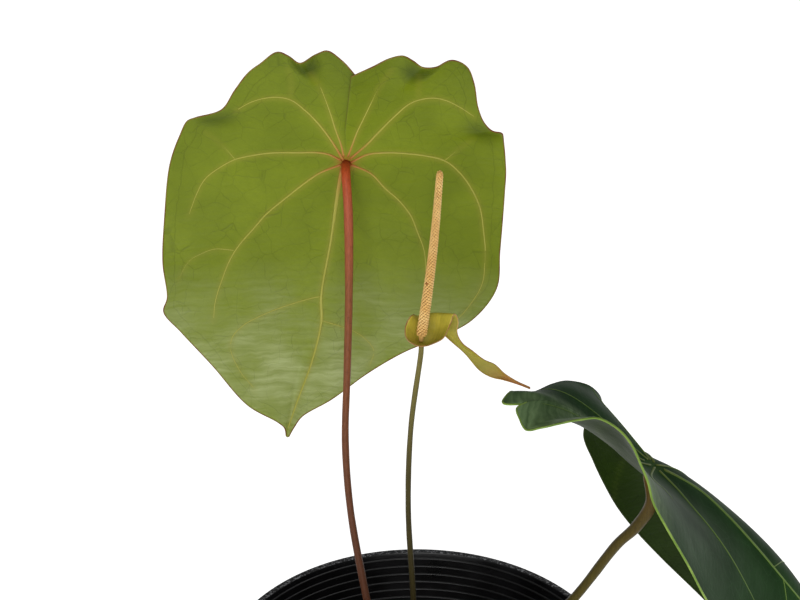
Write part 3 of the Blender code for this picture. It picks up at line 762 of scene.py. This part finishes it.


# each side's colours: green, deep and the vein net are its own; the darker shade over the lobes and under the
# rolled margins and the pale streaked sheen are painted light
underOne = {
    "green": "#6f7d12", "deep": "#606e0d", "netColour": "#48550a", "net": 0.42,
    "veinColour": "#8c8430", "halo": 0.30, "jointColour": "#a8582c", "jointShare": 0.8,
    "paintedShade": "#38460a", "paintedShadeShare": 0.30, "rollShadeShare": 0.95, "paintedSheen": "#bcc48e", "paintedSheenShare": 0.66,
    "roughness": 0.44, "gloss": 0.20, "bump": 0.45,
    "paintedSheenUp": (-0.044, -0.096), "paintedSheenAcross": (-1.0, -0.5),
}
upperOne = {
    "green": "#2a5024", "deep": "#1f401c", "netColour": "#3f5f30", "net": 0.4,
    "veinColour": "#6f8a40", "halo": 0.4, "jointColour": "#6f7a34", "jointShare": 0.5,
    "paintedShade": "#1d3c24", "paintedShadeShare": 0.3, "rollShadeShare": 0.0, "paintedSheen": "#5f7a5a", "paintedSheenShare": 0.0,
    "roughness": 0.44, "gloss": 0.30, "bump": 0.30,
    "paintedSheenUp": (-0.040, -0.088), "paintedSheenAcross": (-1.0, -0.5),
}
underTwo = {
    "green": "#22330a", "deep": "#182606", "netColour": "#121d04", "net": 0.4,
    "veinColour": "#3a4816", "halo": 0.4, "jointColour": "#4a381a", "jointShare": 0.7,
    "paintedShade": "#16240a", "paintedShadeShare": 0.3, "rollShadeShare": 0.0, "paintedSheen": "#5a6a40", "paintedSheenShare": 0.0,
    "roughness": 0.52, "gloss": 0.12, "bump": 0.30,
    "paintedSheenUp": (-0.040, -0.088), "paintedSheenAcross": (-1.0, -0.5),
}
upperTwo = {
    "green": "#1c3f14", "deep": "#14300f", "netColour": "#2c4f2a", "net": 0.35,
    "veinColour": "#3f5c2a", "halo": 0.3, "jointColour": "#4f6a30", "jointShare": 0.3,
    "paintedShade": "#1a3418", "paintedShadeShare": 0.3, "rollShadeShare": 0.0, "paintedSheen": "#86a070", "paintedSheenShare": 1.0,
    "roughness": 0.54, "gloss": 0.07, "bump": 0.25,
    "paintedSheenUp": (0.010, 0.035), "paintedSheenAcross": (0.004, 0.016),
}


def marginSkin(name, one, two, shaded=None):
    # the blade's edge is a thin corky band; where it hangs in shade, towards the back, it may darken
    made, tree, shader = startMaterial(name, 0.5, ior=1.42, specular=0.2)
    place = addNode(tree, "TexCoord", out="Object")
    patches = addNode(tree, "TexNoise", {"Vector": place, "Scale": 120, "Detail": 3})
    body = addNode(tree, "Mix", {
        0: addNode(tree, "MapRange", {0: patches, 1: 0.38, 2: 0.62}),
        6: colour(one), 7: colour(two),
    }, out=2, data_type="RGBA")
    if shaded:
        back = addNode(tree, "SeparateXYZ", {"Vector": place}, out="Y")
        body = addNode(tree, "Mix", {
            0: addNode(tree, "MapRange", {0: back, 1: -0.040, 2: -0.018}),
            6: body, 7: colour(shaded),
        }, out=2, data_type="RGBA")
    tree.links.new(body, shader.inputs["Base Color"])
    return made


growLeaf(
    "leafOneBlade", leafOne,
    [
        leafSkin("young leaf underside", underOne),
        leafSkin("young leaf upper side", upperOne),
        marginSkin("tan leaf margin", "#7a6a2a", "#6a3a1e"),
        veinSkin("raised yellow-olive veins", "#a8562a", "#9c993c", 0.42),
    ],
    ["leaf_1_blade"],
)
growLeaf(
    "leafTwoBlade", leafTwo,
    [
        leafSkin("older leaf underside", underTwo),
        leafSkin("older leaf upper side", upperTwo),
        marginSkin("light green leaf margin", "#7a9440", "#64802f", "#2e3a14"),
        veinSkin("raised light green veins", "#66722e", "#5f7a32", 0.46),
    ],
    ["leaf_2_blade"],
)
print("leaves ready")


# feet are shares of the stem's radius, routes are millimetres from the crown
stemRadius = 0.008
stalks = {
    "leafOneStalk": {
        "foot": (-0.5, 0.05), "node": "leaf_1_petiole", "slot": "red_stalk",
        "route": [
            (-17, 5, 50), (-24, 9, 88), (-30, 16, 125), (-32, 23, 155), (-31, 30, 185), (-30, 38, 220),
            (-30, 45, 252),
        ],
        "joint": leafOne["joint"], "normal": leafOne["normal"], "clear": 0.00045, "bend": (1.1, 0.3, 0.0),
        "radii": [2.3, 1.9, 1.72, 1.62, 1.55, 1.55, 1.6, 1.85, 1.95], "stations": 150,
    },
    "leafTwoStalk": {
        "foot": (0.46, -0.26), "node": "leaf_2_petiole", "slot": "olive_stalk",
        "route": [
            (27, -10, 48), (47, -13, 77), (65, -15, 101), (81, -19, 131), (88, -22, 142), (93, -23, 154),
        ],
        "joint": leafTwo["joint"], "normal": leafTwo["normal"], "clear": 0.00045, "bend": (0.55, 0.2, 0.0),
        "radii": [2.6, 2.3, 2.15, 2.05, 2.0, 2.0, 2.05, 2.45, 2.5], "stations": 120,
    },
    "flowerStalk": {
        "foot": (0.12, 0.44), "node": "peduncle", "slot": "olive_stalk",
        "route": [(-1, 3, 50), (-3, 2, 95), (-5, 2, 135), (-4, 1, 175)],
        "joint": (0.0, 0.0, 0.2144), "normal": (0, 0, 1), "clear": 0.0004,
        "radii": [1.45, 1.4, 1.32, 1.25, 1.2, 1.14, 1.1], "stations": 110,
    },
}


def stalkSkin(name, stops, low, high, roughness=0.42):
    # a fleshy stalk: satin skin over fibres gives faint lengthwise streaks; its colour changes with height
    made, tree, shader = startMaterial(name, roughness, ior=1.42, specular=0.18)
    place = addNode(tree, "TexCoord", out="Object")
    height = addNode(tree, "SeparateXYZ", {"Vector": place}, out="Z")
    streaks = addNode(tree, "Mapping", {"Vector": place, "Scale": (1.0, 1.0, 0.06)})
    streaks = addNode(tree, "TexNoise", {"Vector": streaks, "Scale": 1500, "Detail": 3})
    specks = addNode(tree, "TexNoise", {"Vector": place, "Scale": 900, "Detail": 2})
    body = addNode(tree, "ValToRGB", {
        "Fac": addNode(tree, "MapRange", {0: height, 1: low, 2: high}),
    }, stops=stops)
    dark = addNode(tree, "Mix", {0: 0.62, 6: body, 7: colour("#1c0f06")}, out=2, data_type="RGBA")
    body = addNode(tree, "Mix", {
        0: addNode(tree, "MapRange", {0: streaks, 1: 0.40, 2: 0.72, 3: 0.0, 4: 0.5}),
        6: body, 7: dark,
    }, out=2, data_type="RGBA")
    body = addNode(tree, "Mix", {
        0: addNode(tree, "MapRange", {0: specks, 1: 0.60, 2: 0.70, 3: 0.0, 4: 0.35}),
        6: body, 7: dark,
    }, out=2, data_type="RGBA")
    tree.links.new(body, shader.inputs["Base Color"])
    bump = addNode(tree, "Bump", {"Height": streaks, "Strength": 0.35, "Distance": 0.0001})
    tree.links.new(bump, shader.inputs["Normal"])
    return made


stalkSkins = {
    "leafOneStalk": stalkSkin("red-brown leaf stalk skin", [
        (0.0, "#34190f"), (1.0, "#b04a22"), (0.25, "#482818"), (0.55, "#6a3f26"),
        (0.82, "#8a5030"), (0.94, "#a8553a"),
    ], 0.10, 0.366),
    "leafTwoStalk": stalkSkin("olive-brown leaf stalk skin", [
        (0.0, "#36300c"), (1.0, "#553c14"), (0.5, "#484110"), (0.85, "#4c4014"),
    ], 0.10, 0.266),
    "flowerStalk": stalkSkin("olive flower stalk skin", [
        (0.0, "#1c1706"), (1.0, "#746c38"), (0.35, "#241e09"), (0.7, "#453e1a"),
    ], 0.10, 0.310),
}


def makeStalk(name, stalk):
    foot = Vector((stalk["foot"][0], stalk["foot"][1], 0)) * stemRadius
    joint = Vector(stalk["joint"])
    inwards = Vector(stalk["normal"]).normalized()
    thick = stalk["radii"][-1] * 2 * mm
    start = [foot + Vector((0, 0, 0.0003)), foot + Vector((0, 0, 0.004))]
    if name == "flowerStalk":
        head = [joint - Vector((0, 0, 0.0034)), joint - Vector((0, 0, stalk["clear"]))]
    else:
        head = [joint - inwards * (stalk["clear"] + share * thick) for share in stalk["bend"]]
    points = start + [Vector(p) * mm for p in stalk["route"]] + head
    path = smoothPath([tuple(p) for p in points], stalk["stations"]) + np.array(crown)
    steps = np.linspace(0, 1, stalk["stations"])
    radii = np.interp(steps, np.linspace(0, 1, len(stalk["radii"])), stalk["radii"]) * mm
    radii = radii * (1 + 0.02 * np.sin(steps * 37) + 0.012 * np.sin(steps * 91 + 1))
    work = bmesh.new()
    addTube(work, path, list(radii), sides=20)
    addPiece(name, work, [stalkSkins[name]], [stalk["node"]])


for name, stalk in stalks.items():
    makeStalk(name, stalk)
print("stalks ready")


# the flower: a bract (spathe) and its spike (spadix)
flower = {
    "base": Vector(stalks["flowerStalk"]["joint"]) + crown,
    # left edge, right edge and middle of each cross-section, in millimetres from the base
    "sections": [
        ((-3.2, -5.0, 1.9), (3.5, -5.0, 1.7), (0, -6.0, 1.6)),
        ((-6.0, -2.0, 3.3), (8.7, -1.0, 2.7), (0.8, 0.0, 0.0)),
        ((-6.2, 1.0, 7.0), (11.2, 2.0, 6.6), (2.9, 6.0, 3.3)),
        ((-4.0, 3.0, 10.6), (13.1, 2.0, 11.9), (4.5, 8.5, 9.0)),
        ((-0.5, 9.5, 6.5), (14.8, 4.5, 7.4), (7.8, 12.0, 5.0)),
        ((7.0, 9.0, 1.3), (14.5, 5.0, 2.0), (10.6, 9.0, 0.8)),
        ((12.6, 7.0, -3.2), (16.7, 5.0, -2.6), (14.7, 7.0, -3.2)),
        ((17.6, 6.0, -7.6), (20.7, 5.0, -6.0), (19.2, 6.0, -7.0)),
        ((24.1, 4.0, -14.8), (25.7, 5.0, -10.1), (24.9, 5.0, -12.6)),
        ((29.0, 3.0, -17.3), (30.1, 4.0, -11.8), (29.4, 4.0, -14.8)),
        ((33.0, 2.0, -17.8), (33.8, 2.0, -14.8), (33.5, 3.0, -16.6)),
        ((37.9, 1.0, -18.9), (38.3, 1.0, -17.5), (38.1, 1.2, -18.3)),
        ((44.4, 0.0, -21.0), (44.4, 0.0, -20.2), (44.4, 0.3, -20.7)),
    ],
    "thick": 0.4 * mm,
    # the bract's dry edge tapers: places along it, and its half width there in millimetres
    "edgePlaces": (0, 0.12, 0.4, 0.5, 0.6, 0.88, 1), "edgeHalfs": (0.05, 0.12, 0.24, 0.24, 0.24, 0.12, 0.05),
    "spikeLength": 0.069, "spikeRadius": 0.00205, "lean": (0.10, 0.07, 1.0), "bow": 0.0008, "taper": 0.42,
    "stipe": 0.0022, "flowerSize": 1.22 * mm,
}


def bractSkin():
    # a thin waxy bract: yellow-green and veined lengthwise, browning to red at its tip
    made, tree, shader = startMaterial("yellow-green bract skin", 0.42, ior=1.42, specular=0.4)
    sheet = addNode(tree, "UVMap", uv_map="bractMap")
    along = addNode(tree, "SeparateXYZ", {"Vector": sheet}, out="X")
    place = addNode(tree, "TexCoord", out="Object")
    cloudy = addNode(tree, "TexNoise", {"Vector": place, "Scale": 190, "Detail": 4})
    body = addNode(tree, "ValToRGB", {"Fac": along}, stops=[
        (0.0, "#b8a63c"), (1.0, "#8a3c18"), (0.25, "#b5a638"), (0.55, "#948a26"),
        (0.74, "#8e8026"), (0.86, "#9a682e"),
    ])
    body = addNode(tree, "Mix", {
        0: addNode(tree, "MapRange", {0: cloudy, 1: 0.38, 2: 0.70, 3: 0.0, 4: 0.45}),
        6: body, 7: colour("#7f7e22"),
    }, out=2, data_type="RGBA")
    stretched = addNode(tree, "Mapping", {"Vector": sheet, "Scale": (0.03, 1.0, 1.0)})
    ribs = addNode(tree, "TexNoise", {"Vector": stretched, "Scale": 22, "Detail": 2})
    body = addNode(tree, "Mix", {
        0: addNode(tree, "MapRange", {0: ribs, 1: 0.5, 2: 0.75, 3: 0.0, 4: 0.4}),
        6: body, 7: colour("#7c7a24"),
    }, out=2, data_type="RGBA")
    tree.links.new(body, shader.inputs["Base Color"])
    bump = addNode(tree, "Bump", {"Height": ribs, "Strength": 0.6, "Distance": 0.0004})
    tree.links.new(bump, shader.inputs["Normal"])
    return made


def makeBract():
    lengthwise, crosswise = 150, 36
    sections = np.array(flower["sections"]) * mm
    edges = [smoothPath(sections[:, k], lengthwise + 1) for k in range(3)]

    def onBract(i, u):
        # u runs from -1 at the left edge, through the middle, to 1 at the right edge
        left, right, middle = (edge[i] for edge in edges)
        chord = left * (1 - u) / 2 + right * (1 + u) / 2
        return chord + (middle - (left + right) / 2) * (1 - u * u)

    work = bmesh.new()
    bmesh.ops.create_grid(work, x_segments=lengthwise, y_segments=crosswise, size=1.0)
    bractMap = work.loops.layers.uv.new("bractMap")
    for face in work.faces:
        for loop in face.loops:
            loop[bractMap].uv = ((loop.vert.co.x + 1) / 2, (loop.vert.co.y + 1) / 2)
    for vert in work.verts:
        i = round((vert.co.x + 1) / 2 * lengthwise)
        vert.co = Vector(onBract(i, vert.co.y)) + flower["base"]
    skin = bractSkin()
    rimSkin = marginSkin("dry tan bract edge", "#b08a58", "#85522e")
    bract = addPiece("bract", work, [skin, skin, rimSkin], ["spathe"], recalc=False)
    shell = bract.modifiers.new("thickness", "SOLIDIFY")
    shell.thickness = flower["thick"]
    shell.offset = 0.0
    shell.material_offset_rim = 2

    edge = bmesh.new()
    base = np.array(flower["base"])
    front = [onBract(0, u) for u in np.linspace(-1, 1, 9)]
    border = list(edges[0][::-1]) + front[1:-1] + list(edges[1])
    border = smoothPath(np.array(border)[::4], 320) + base
    halfs = np.interp(np.linspace(0, 1, len(border)), flower["edgePlaces"], flower["edgeHalfs"]) * mm
    addTube(edge, border, list(halfs), sides=6)
    addPiece("bractEdge", edge, [rimSkin], ())


def spikeSkins():
    # the spike is packed with tiny waxy flowers, cream to apricot; the tan core between them is its own
    # colour, darkened to paint the shade in the creases
    petals, tree, shader = startMaterial("cream spike flowers", 0.5, ior=1.42, specular=0.4)
    place = addNode(tree, "TexCoord", out="Object")
    cloudy = addNode(tree, "TexNoise", {"Vector": place, "Scale": 160, "Detail": 3})
    fine = addNode(tree, "TexNoise", {"Vector": place, "Scale": 1300, "Detail": 2})
    body = addNode(tree, "Mix", {
        0: addNode(tree, "MapRange", {0: cloudy, 1: 0.35, 2: 0.68}),
        6: colour("#e2be7a"), 7: colour("#d2a45c"),
    }, out=2, data_type="RGBA")
    body = addNode(tree, "Mix", {
        0: addNode(tree, "MapRange", {0: fine, 1: 0.45, 2: 0.75, 3: 0.0, 4: 0.4}),
        6: body, 7: colour("#a8763c"),
    }, out=2, data_type="RGBA")
    tree.links.new(body, shader.inputs["Base Color"])
    skins = [petals]
    # the core's tan is darkened so that it also stands for painted shade in the creases between the flowers
    for name, grain, dark, light in (
        ("tan spike core with painted crease shade", 300, "#6e451c", "#85582a"),
        ("browned spike flowers", 500, "#7a4a1c", "#a06a30"),
    ):
        made, tree, shader = startMaterial(name, 0.6, ior=1.42, specular=0.3)
        place = addNode(tree, "TexCoord", out="Object")
        cloudy = addNode(tree, "TexNoise", {"Vector": place, "Scale": grain, "Detail": 2})
        body = addNode(tree, "Mix", {
            0: cloudy, 6: colour(dark), 7: colour(light),
        }, out=2, data_type="RGBA")
        tree.links.new(body, shader.inputs["Base Color"])
        skins.append(made)
    return skins


def makeSpike():
    foot = flower["base"] + Vector((0, 0, 0.00105))
    spikeFoot = foot + Vector((0, 0, flower["stipe"]))
    lean = Vector(flower["lean"]).normalized()

    def centre(t):
        bow = Vector((math.sin(math.pi * t) * flower["bow"], 0, 0))
        return spikeFoot + lean * flower["spikeLength"] * t + bow

    def radius(t):
        blunt = math.sqrt(max(1 - (max(t - 0.965, 0) / 0.035) ** 2, 0.0))
        heel = math.sqrt(max(1 - (max(0.02 - t, 0) / 0.024) ** 2, 0.0))
        return flower["spikeRadius"] * (1 - flower["taper"] * t) * blunt * heel

    work = bmesh.new()
    steps = [0.0, 0.004, 0.012] + [0.02 + 0.945 * k / 60 for k in range(61)]
    steps += [0.975, 0.985, 0.992, 0.997, 0.9995]
    path = [foot, foot + Vector((0, 0, 0.0012))] + [centre(t) for t in steps]
    radii = [0.0010, 0.0010] + [max(radius(t) * 0.93, 0.0002) for t in steps]
    addTube(work, path, radii, sides=20)
    chance = random.Random(7)
    size = flower["flowerSize"]
    t, turn = 0.006, 0.0
    batch = bmesh.new()
    up = lean.orthogonal().normalized()
    side = lean.cross(up)
    while t < 0.994:  # flowers sit on a spiral, each turned by the golden angle from the last
        r = radius(t)
        facing = (up * math.cos(turn) + side * math.sin(turn)).normalized()
        tangent = lean.cross(facing)
        scale = size * (0.62 + 0.38 * (r / flower["spikeRadius"]))
        grow = 1 + chance.uniform(-0.08, 0.08)
        axes = (tangent * scale * 0.50 * grow, lean * scale * 0.52 * grow, facing * scale * 0.36)
        station = Matrix(axes).transposed().to_4x4()
        station.translation = centre(t) + facing * (r * 0.90)
        made = bmesh.ops.create_uvsphere(batch, u_segments=8, v_segments=4, radius=1.0,
                                         matrix=station)["verts"]
        index = 2 if chance.random() < 0.006 else 1
        for face in {f for v in made for f in v.link_faces}:
            face.material_index = index
        turn += math.radians(137.508)
        t += scale * scale * 0.80 / (2 * math.pi * max(r, 0.0006) * flower["spikeLength"])
        if len(batch.verts) > 800:
            gather(work, batch)
            batch = bmesh.new()
    gather(work, batch)
    petals, core, spent = spikeSkins()
    for face in work.faces:
        spot = face.calc_center_median().z
        if face.material_index == 0 and (spot < spikeFoot.z + 1.2 * mm or spot > centre(0.975).z):
            face.material_index = 1  # the stipe and the very tip are as pale as the flowers
    addPiece("spike", work, [core, petals, spent], ["spadix"], recalc=False)


makeBract()
makeSpike()
print("flower ready")


# loose bark chips on top of the mix
ground = {"chips": 420, "chipSize": (3.0 * mm, 9.0 * mm), "seed": 11}


def barkSkin(name, stops, size):
    # orchid bark: matt, fibrous and uneven, each chip its own brown
    made, tree, shader = startMaterial(name, 0.85, specular=0.25)
    place = addNode(tree, "TexCoord", out="Object")
    patch = addNode(tree, "TexNoise", {"Vector": place, "Scale": size, "Detail": 4})
    fibre = addNode(tree, "TexNoise", {"Vector": place, "Scale": 700, "Detail": 4})
    body = addNode(tree, "ValToRGB", {
        "Fac": addNode(tree, "MapRange", {0: patch, 1: 0.3, 2: 0.7}),
    }, stops=stops)
    body = addNode(tree, "Mix", {
        0: addNode(tree, "MapRange", {0: fibre, 1: 0.4, 2: 0.7, 3: 0.0, 4: 0.5}),
        6: body, 7: colour("#150d08"),
    }, out=2, data_type="RGBA")
    tree.links.new(body, shader.inputs["Base Color"])
    bump = addNode(tree, "Bump", {"Height": fibre, "Strength": 0.7, "Distance": 0.0004})
    tree.links.new(bump, shader.inputs["Normal"])
    return made


def makeGround():
    # the mix: a solid whose top is pushed into small lumps
    bottom = pot["floor"] + 0.0003
    radius = insideRadius(mixTop) - 0.0005
    profile = [(0.0, bottom), (insideRadius(bottom) - 0.0004, bottom)]
    profile += [(radius, mixTop - 0.002)] + [(radius * (1 - k / 40), mixTop - 0.0018) for k in range(0, 41)]
    work = spinProfile(profile, 120)
    for vert in work.verts:
        if vert.co.z > mixTop - 0.0019:
            spread = min(1.0, (radius - vert.co.xy.length) / 0.004)
            vert.co.z += noise.fractal(vert.co * 260, 0.8, 2.2, 4) * 0.0016 * max(0.0, spread)
    mix = barkSkin("peat and fine bark", [(0.0, "#24170f"), (1.0, "#4a3424"), (0.5, "#352418")], 90)
    addPiece("pottingMix", work, [mix], ["potting_mix"])

    chance = random.Random(ground["seed"])
    work = bmesh.new()
    batch = bmesh.new()
    for k in range(ground["chips"]):
        reach = (radius - 0.006) * math.sqrt(chance.random())
        angle = chance.uniform(0, 2 * math.pi)
        if reach < 0.0125:
            continue
        long = chance.uniform(*ground["chipSize"])
        level = mixTop - 0.0012 + chance.uniform(0, 0.0012)
        spot = Matrix.Translation((reach * math.cos(angle), reach * math.sin(angle), level))
        spot = spot @ Matrix.Rotation(chance.uniform(0, 6.3), 4, "Z")
        spot = spot @ Matrix.Rotation(chance.uniform(-0.35, 0.35), 4, "X")
        wide = long * chance.uniform(0.25, 0.42)
        high = long * chance.uniform(0.10, 0.2)
        spot = spot @ Matrix.Diagonal((long / 2, wide, high, 1))
        made = bmesh.ops.create_icosphere(batch, subdivisions=1, radius=1.0, matrix=spot)["verts"]
        index = chance.randrange(3)
        for vert in made:
            vert.co += Vector([chance.uniform(-0.09, 0.09) * long for _ in range(3)]) * 0.75
        for face in {f for v in made for f in v.link_faces}:
            face.material_index = index
        if len(batch.verts) > 600:
            gather(work, batch)
            batch = bmesh.new()
    gather(work, batch)
    chips = [
        barkSkin("dark bark chip", [(0.0, "#2c1a10"), (1.0, "#4f3423")], 120),
        barkSkin("red-brown bark chip", [(0.0, "#4a2c1a"), (1.0, "#74492d")], 120),
        barkSkin("weathered bark chip", [(0.0, "#54402e"), (1.0, "#806448")], 120),
    ]
    bark = addPiece("barkChips", work, chips, (), recalc=False)
    bark.data.shade_flat()


def makeStem():
    # a short ringed stem; its rings are the scars of old leaves
    height, count = 0.052, 90
    low = crown.z - height
    profile = [(0.0, low)]
    for k in range(count + 1):
        t = k / count
        z = min(low + height * t, crown.z)
        nose = math.sqrt(max(0.0, 1 - max(0.0, 1 - t / 0.09) ** 2))
        ring = 0.22 * mm * (0.5 + 0.5 * math.cos(2 * math.pi * (z - low) / 0.0058)) ** 6
        profile.append(((stemRadius - 0.25 * mm) * max(nose, 0.04) + ring * nose, z))
    profile.append((stemRadius - 0.9 * mm, crown.z))
    profile.append((0.0, crown.z))
    work = spinProfile(profile, 64)
    skin, tree, shader = startMaterial("corky ringed stem", 0.75, specular=0.3)
    place = addNode(tree, "TexCoord", out="Object")
    flat = addNode(tree, "Mapping", {"Vector": place, "Scale": (0.4, 0.4, 1.6)})
    bands = addNode(tree, "TexNoise", {"Vector": flat, "Scale": 420, "Detail": 4})
    body = addNode(tree, "ValToRGB", {"Fac": addNode(tree, "MapRange", {0: bands, 1: 0.3, 2: 0.7})}, stops=[
        (0.0, "#3a3016"), (1.0, "#7d7040"), (0.5, "#5a4f26")])
    tree.links.new(body, shader.inputs["Base Color"])
    bump = addNode(tree, "Bump", {"Height": bands, "Strength": 0.5, "Distance": 0.0003})
    tree.links.new(bump, shader.inputs["Normal"])
    addPiece("stem", work, [skin], ["stem"])


def fibrous(name, one, two):
    # dry or corky plant skin with fibres that run up it
    made, tree, shader = startMaterial(name, 0.78, specular=0.3)
    place = addNode(tree, "TexCoord", out="Object")
    stretched = addNode(tree, "Mapping", {"Vector": place, "Scale": (1.0, 1.0, 0.08)})
    fibres = addNode(tree, "TexNoise", {"Vector": stretched, "Scale": 1300, "Detail": 4})
    patch = addNode(tree, "TexNoise", {"Vector": place, "Scale": 180, "Detail": 3})
    body = addNode(tree, "Mix", {
        0: addNode(tree, "MapRange", {0: patch, 1: 0.35, 2: 0.7}),
        6: colour(one), 7: colour(two),
    }, out=2, data_type="RGBA")
    body = addNode(tree, "Mix", {
        0: addNode(tree, "MapRange", {0: fibres, 1: 0.45, 2: 0.7, 3: 0.0, 4: 0.6}),
        6: body, 7: colour("#2a1a0c"),
    }, out=2, data_type="RGBA")
    tree.links.new(body, shader.inputs["Base Color"])
    bump = addNode(tree, "Bump", {"Height": fibres, "Strength": 0.6, "Distance": 0.0002})
    tree.links.new(bump, shader.inputs["Normal"])
    return made


def dressNode(node, skin):
    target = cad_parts[node].data
    target.materials.clear()
    target.materials.append(skin)


makeGround()
makeStem()
sheath = fibrous("dry brown sheath fibre", "#7a5530", "#9a7444")
rootSkin = fibrous("pale root velamen", "#b3a27a", "#8e7c54")
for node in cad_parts:
    if node.startswith("cataphyll"):
        dressNode(node, sheath)
    if node.startswith("root_"):
        dressNode(node, rootSkin)
print("ground ready")
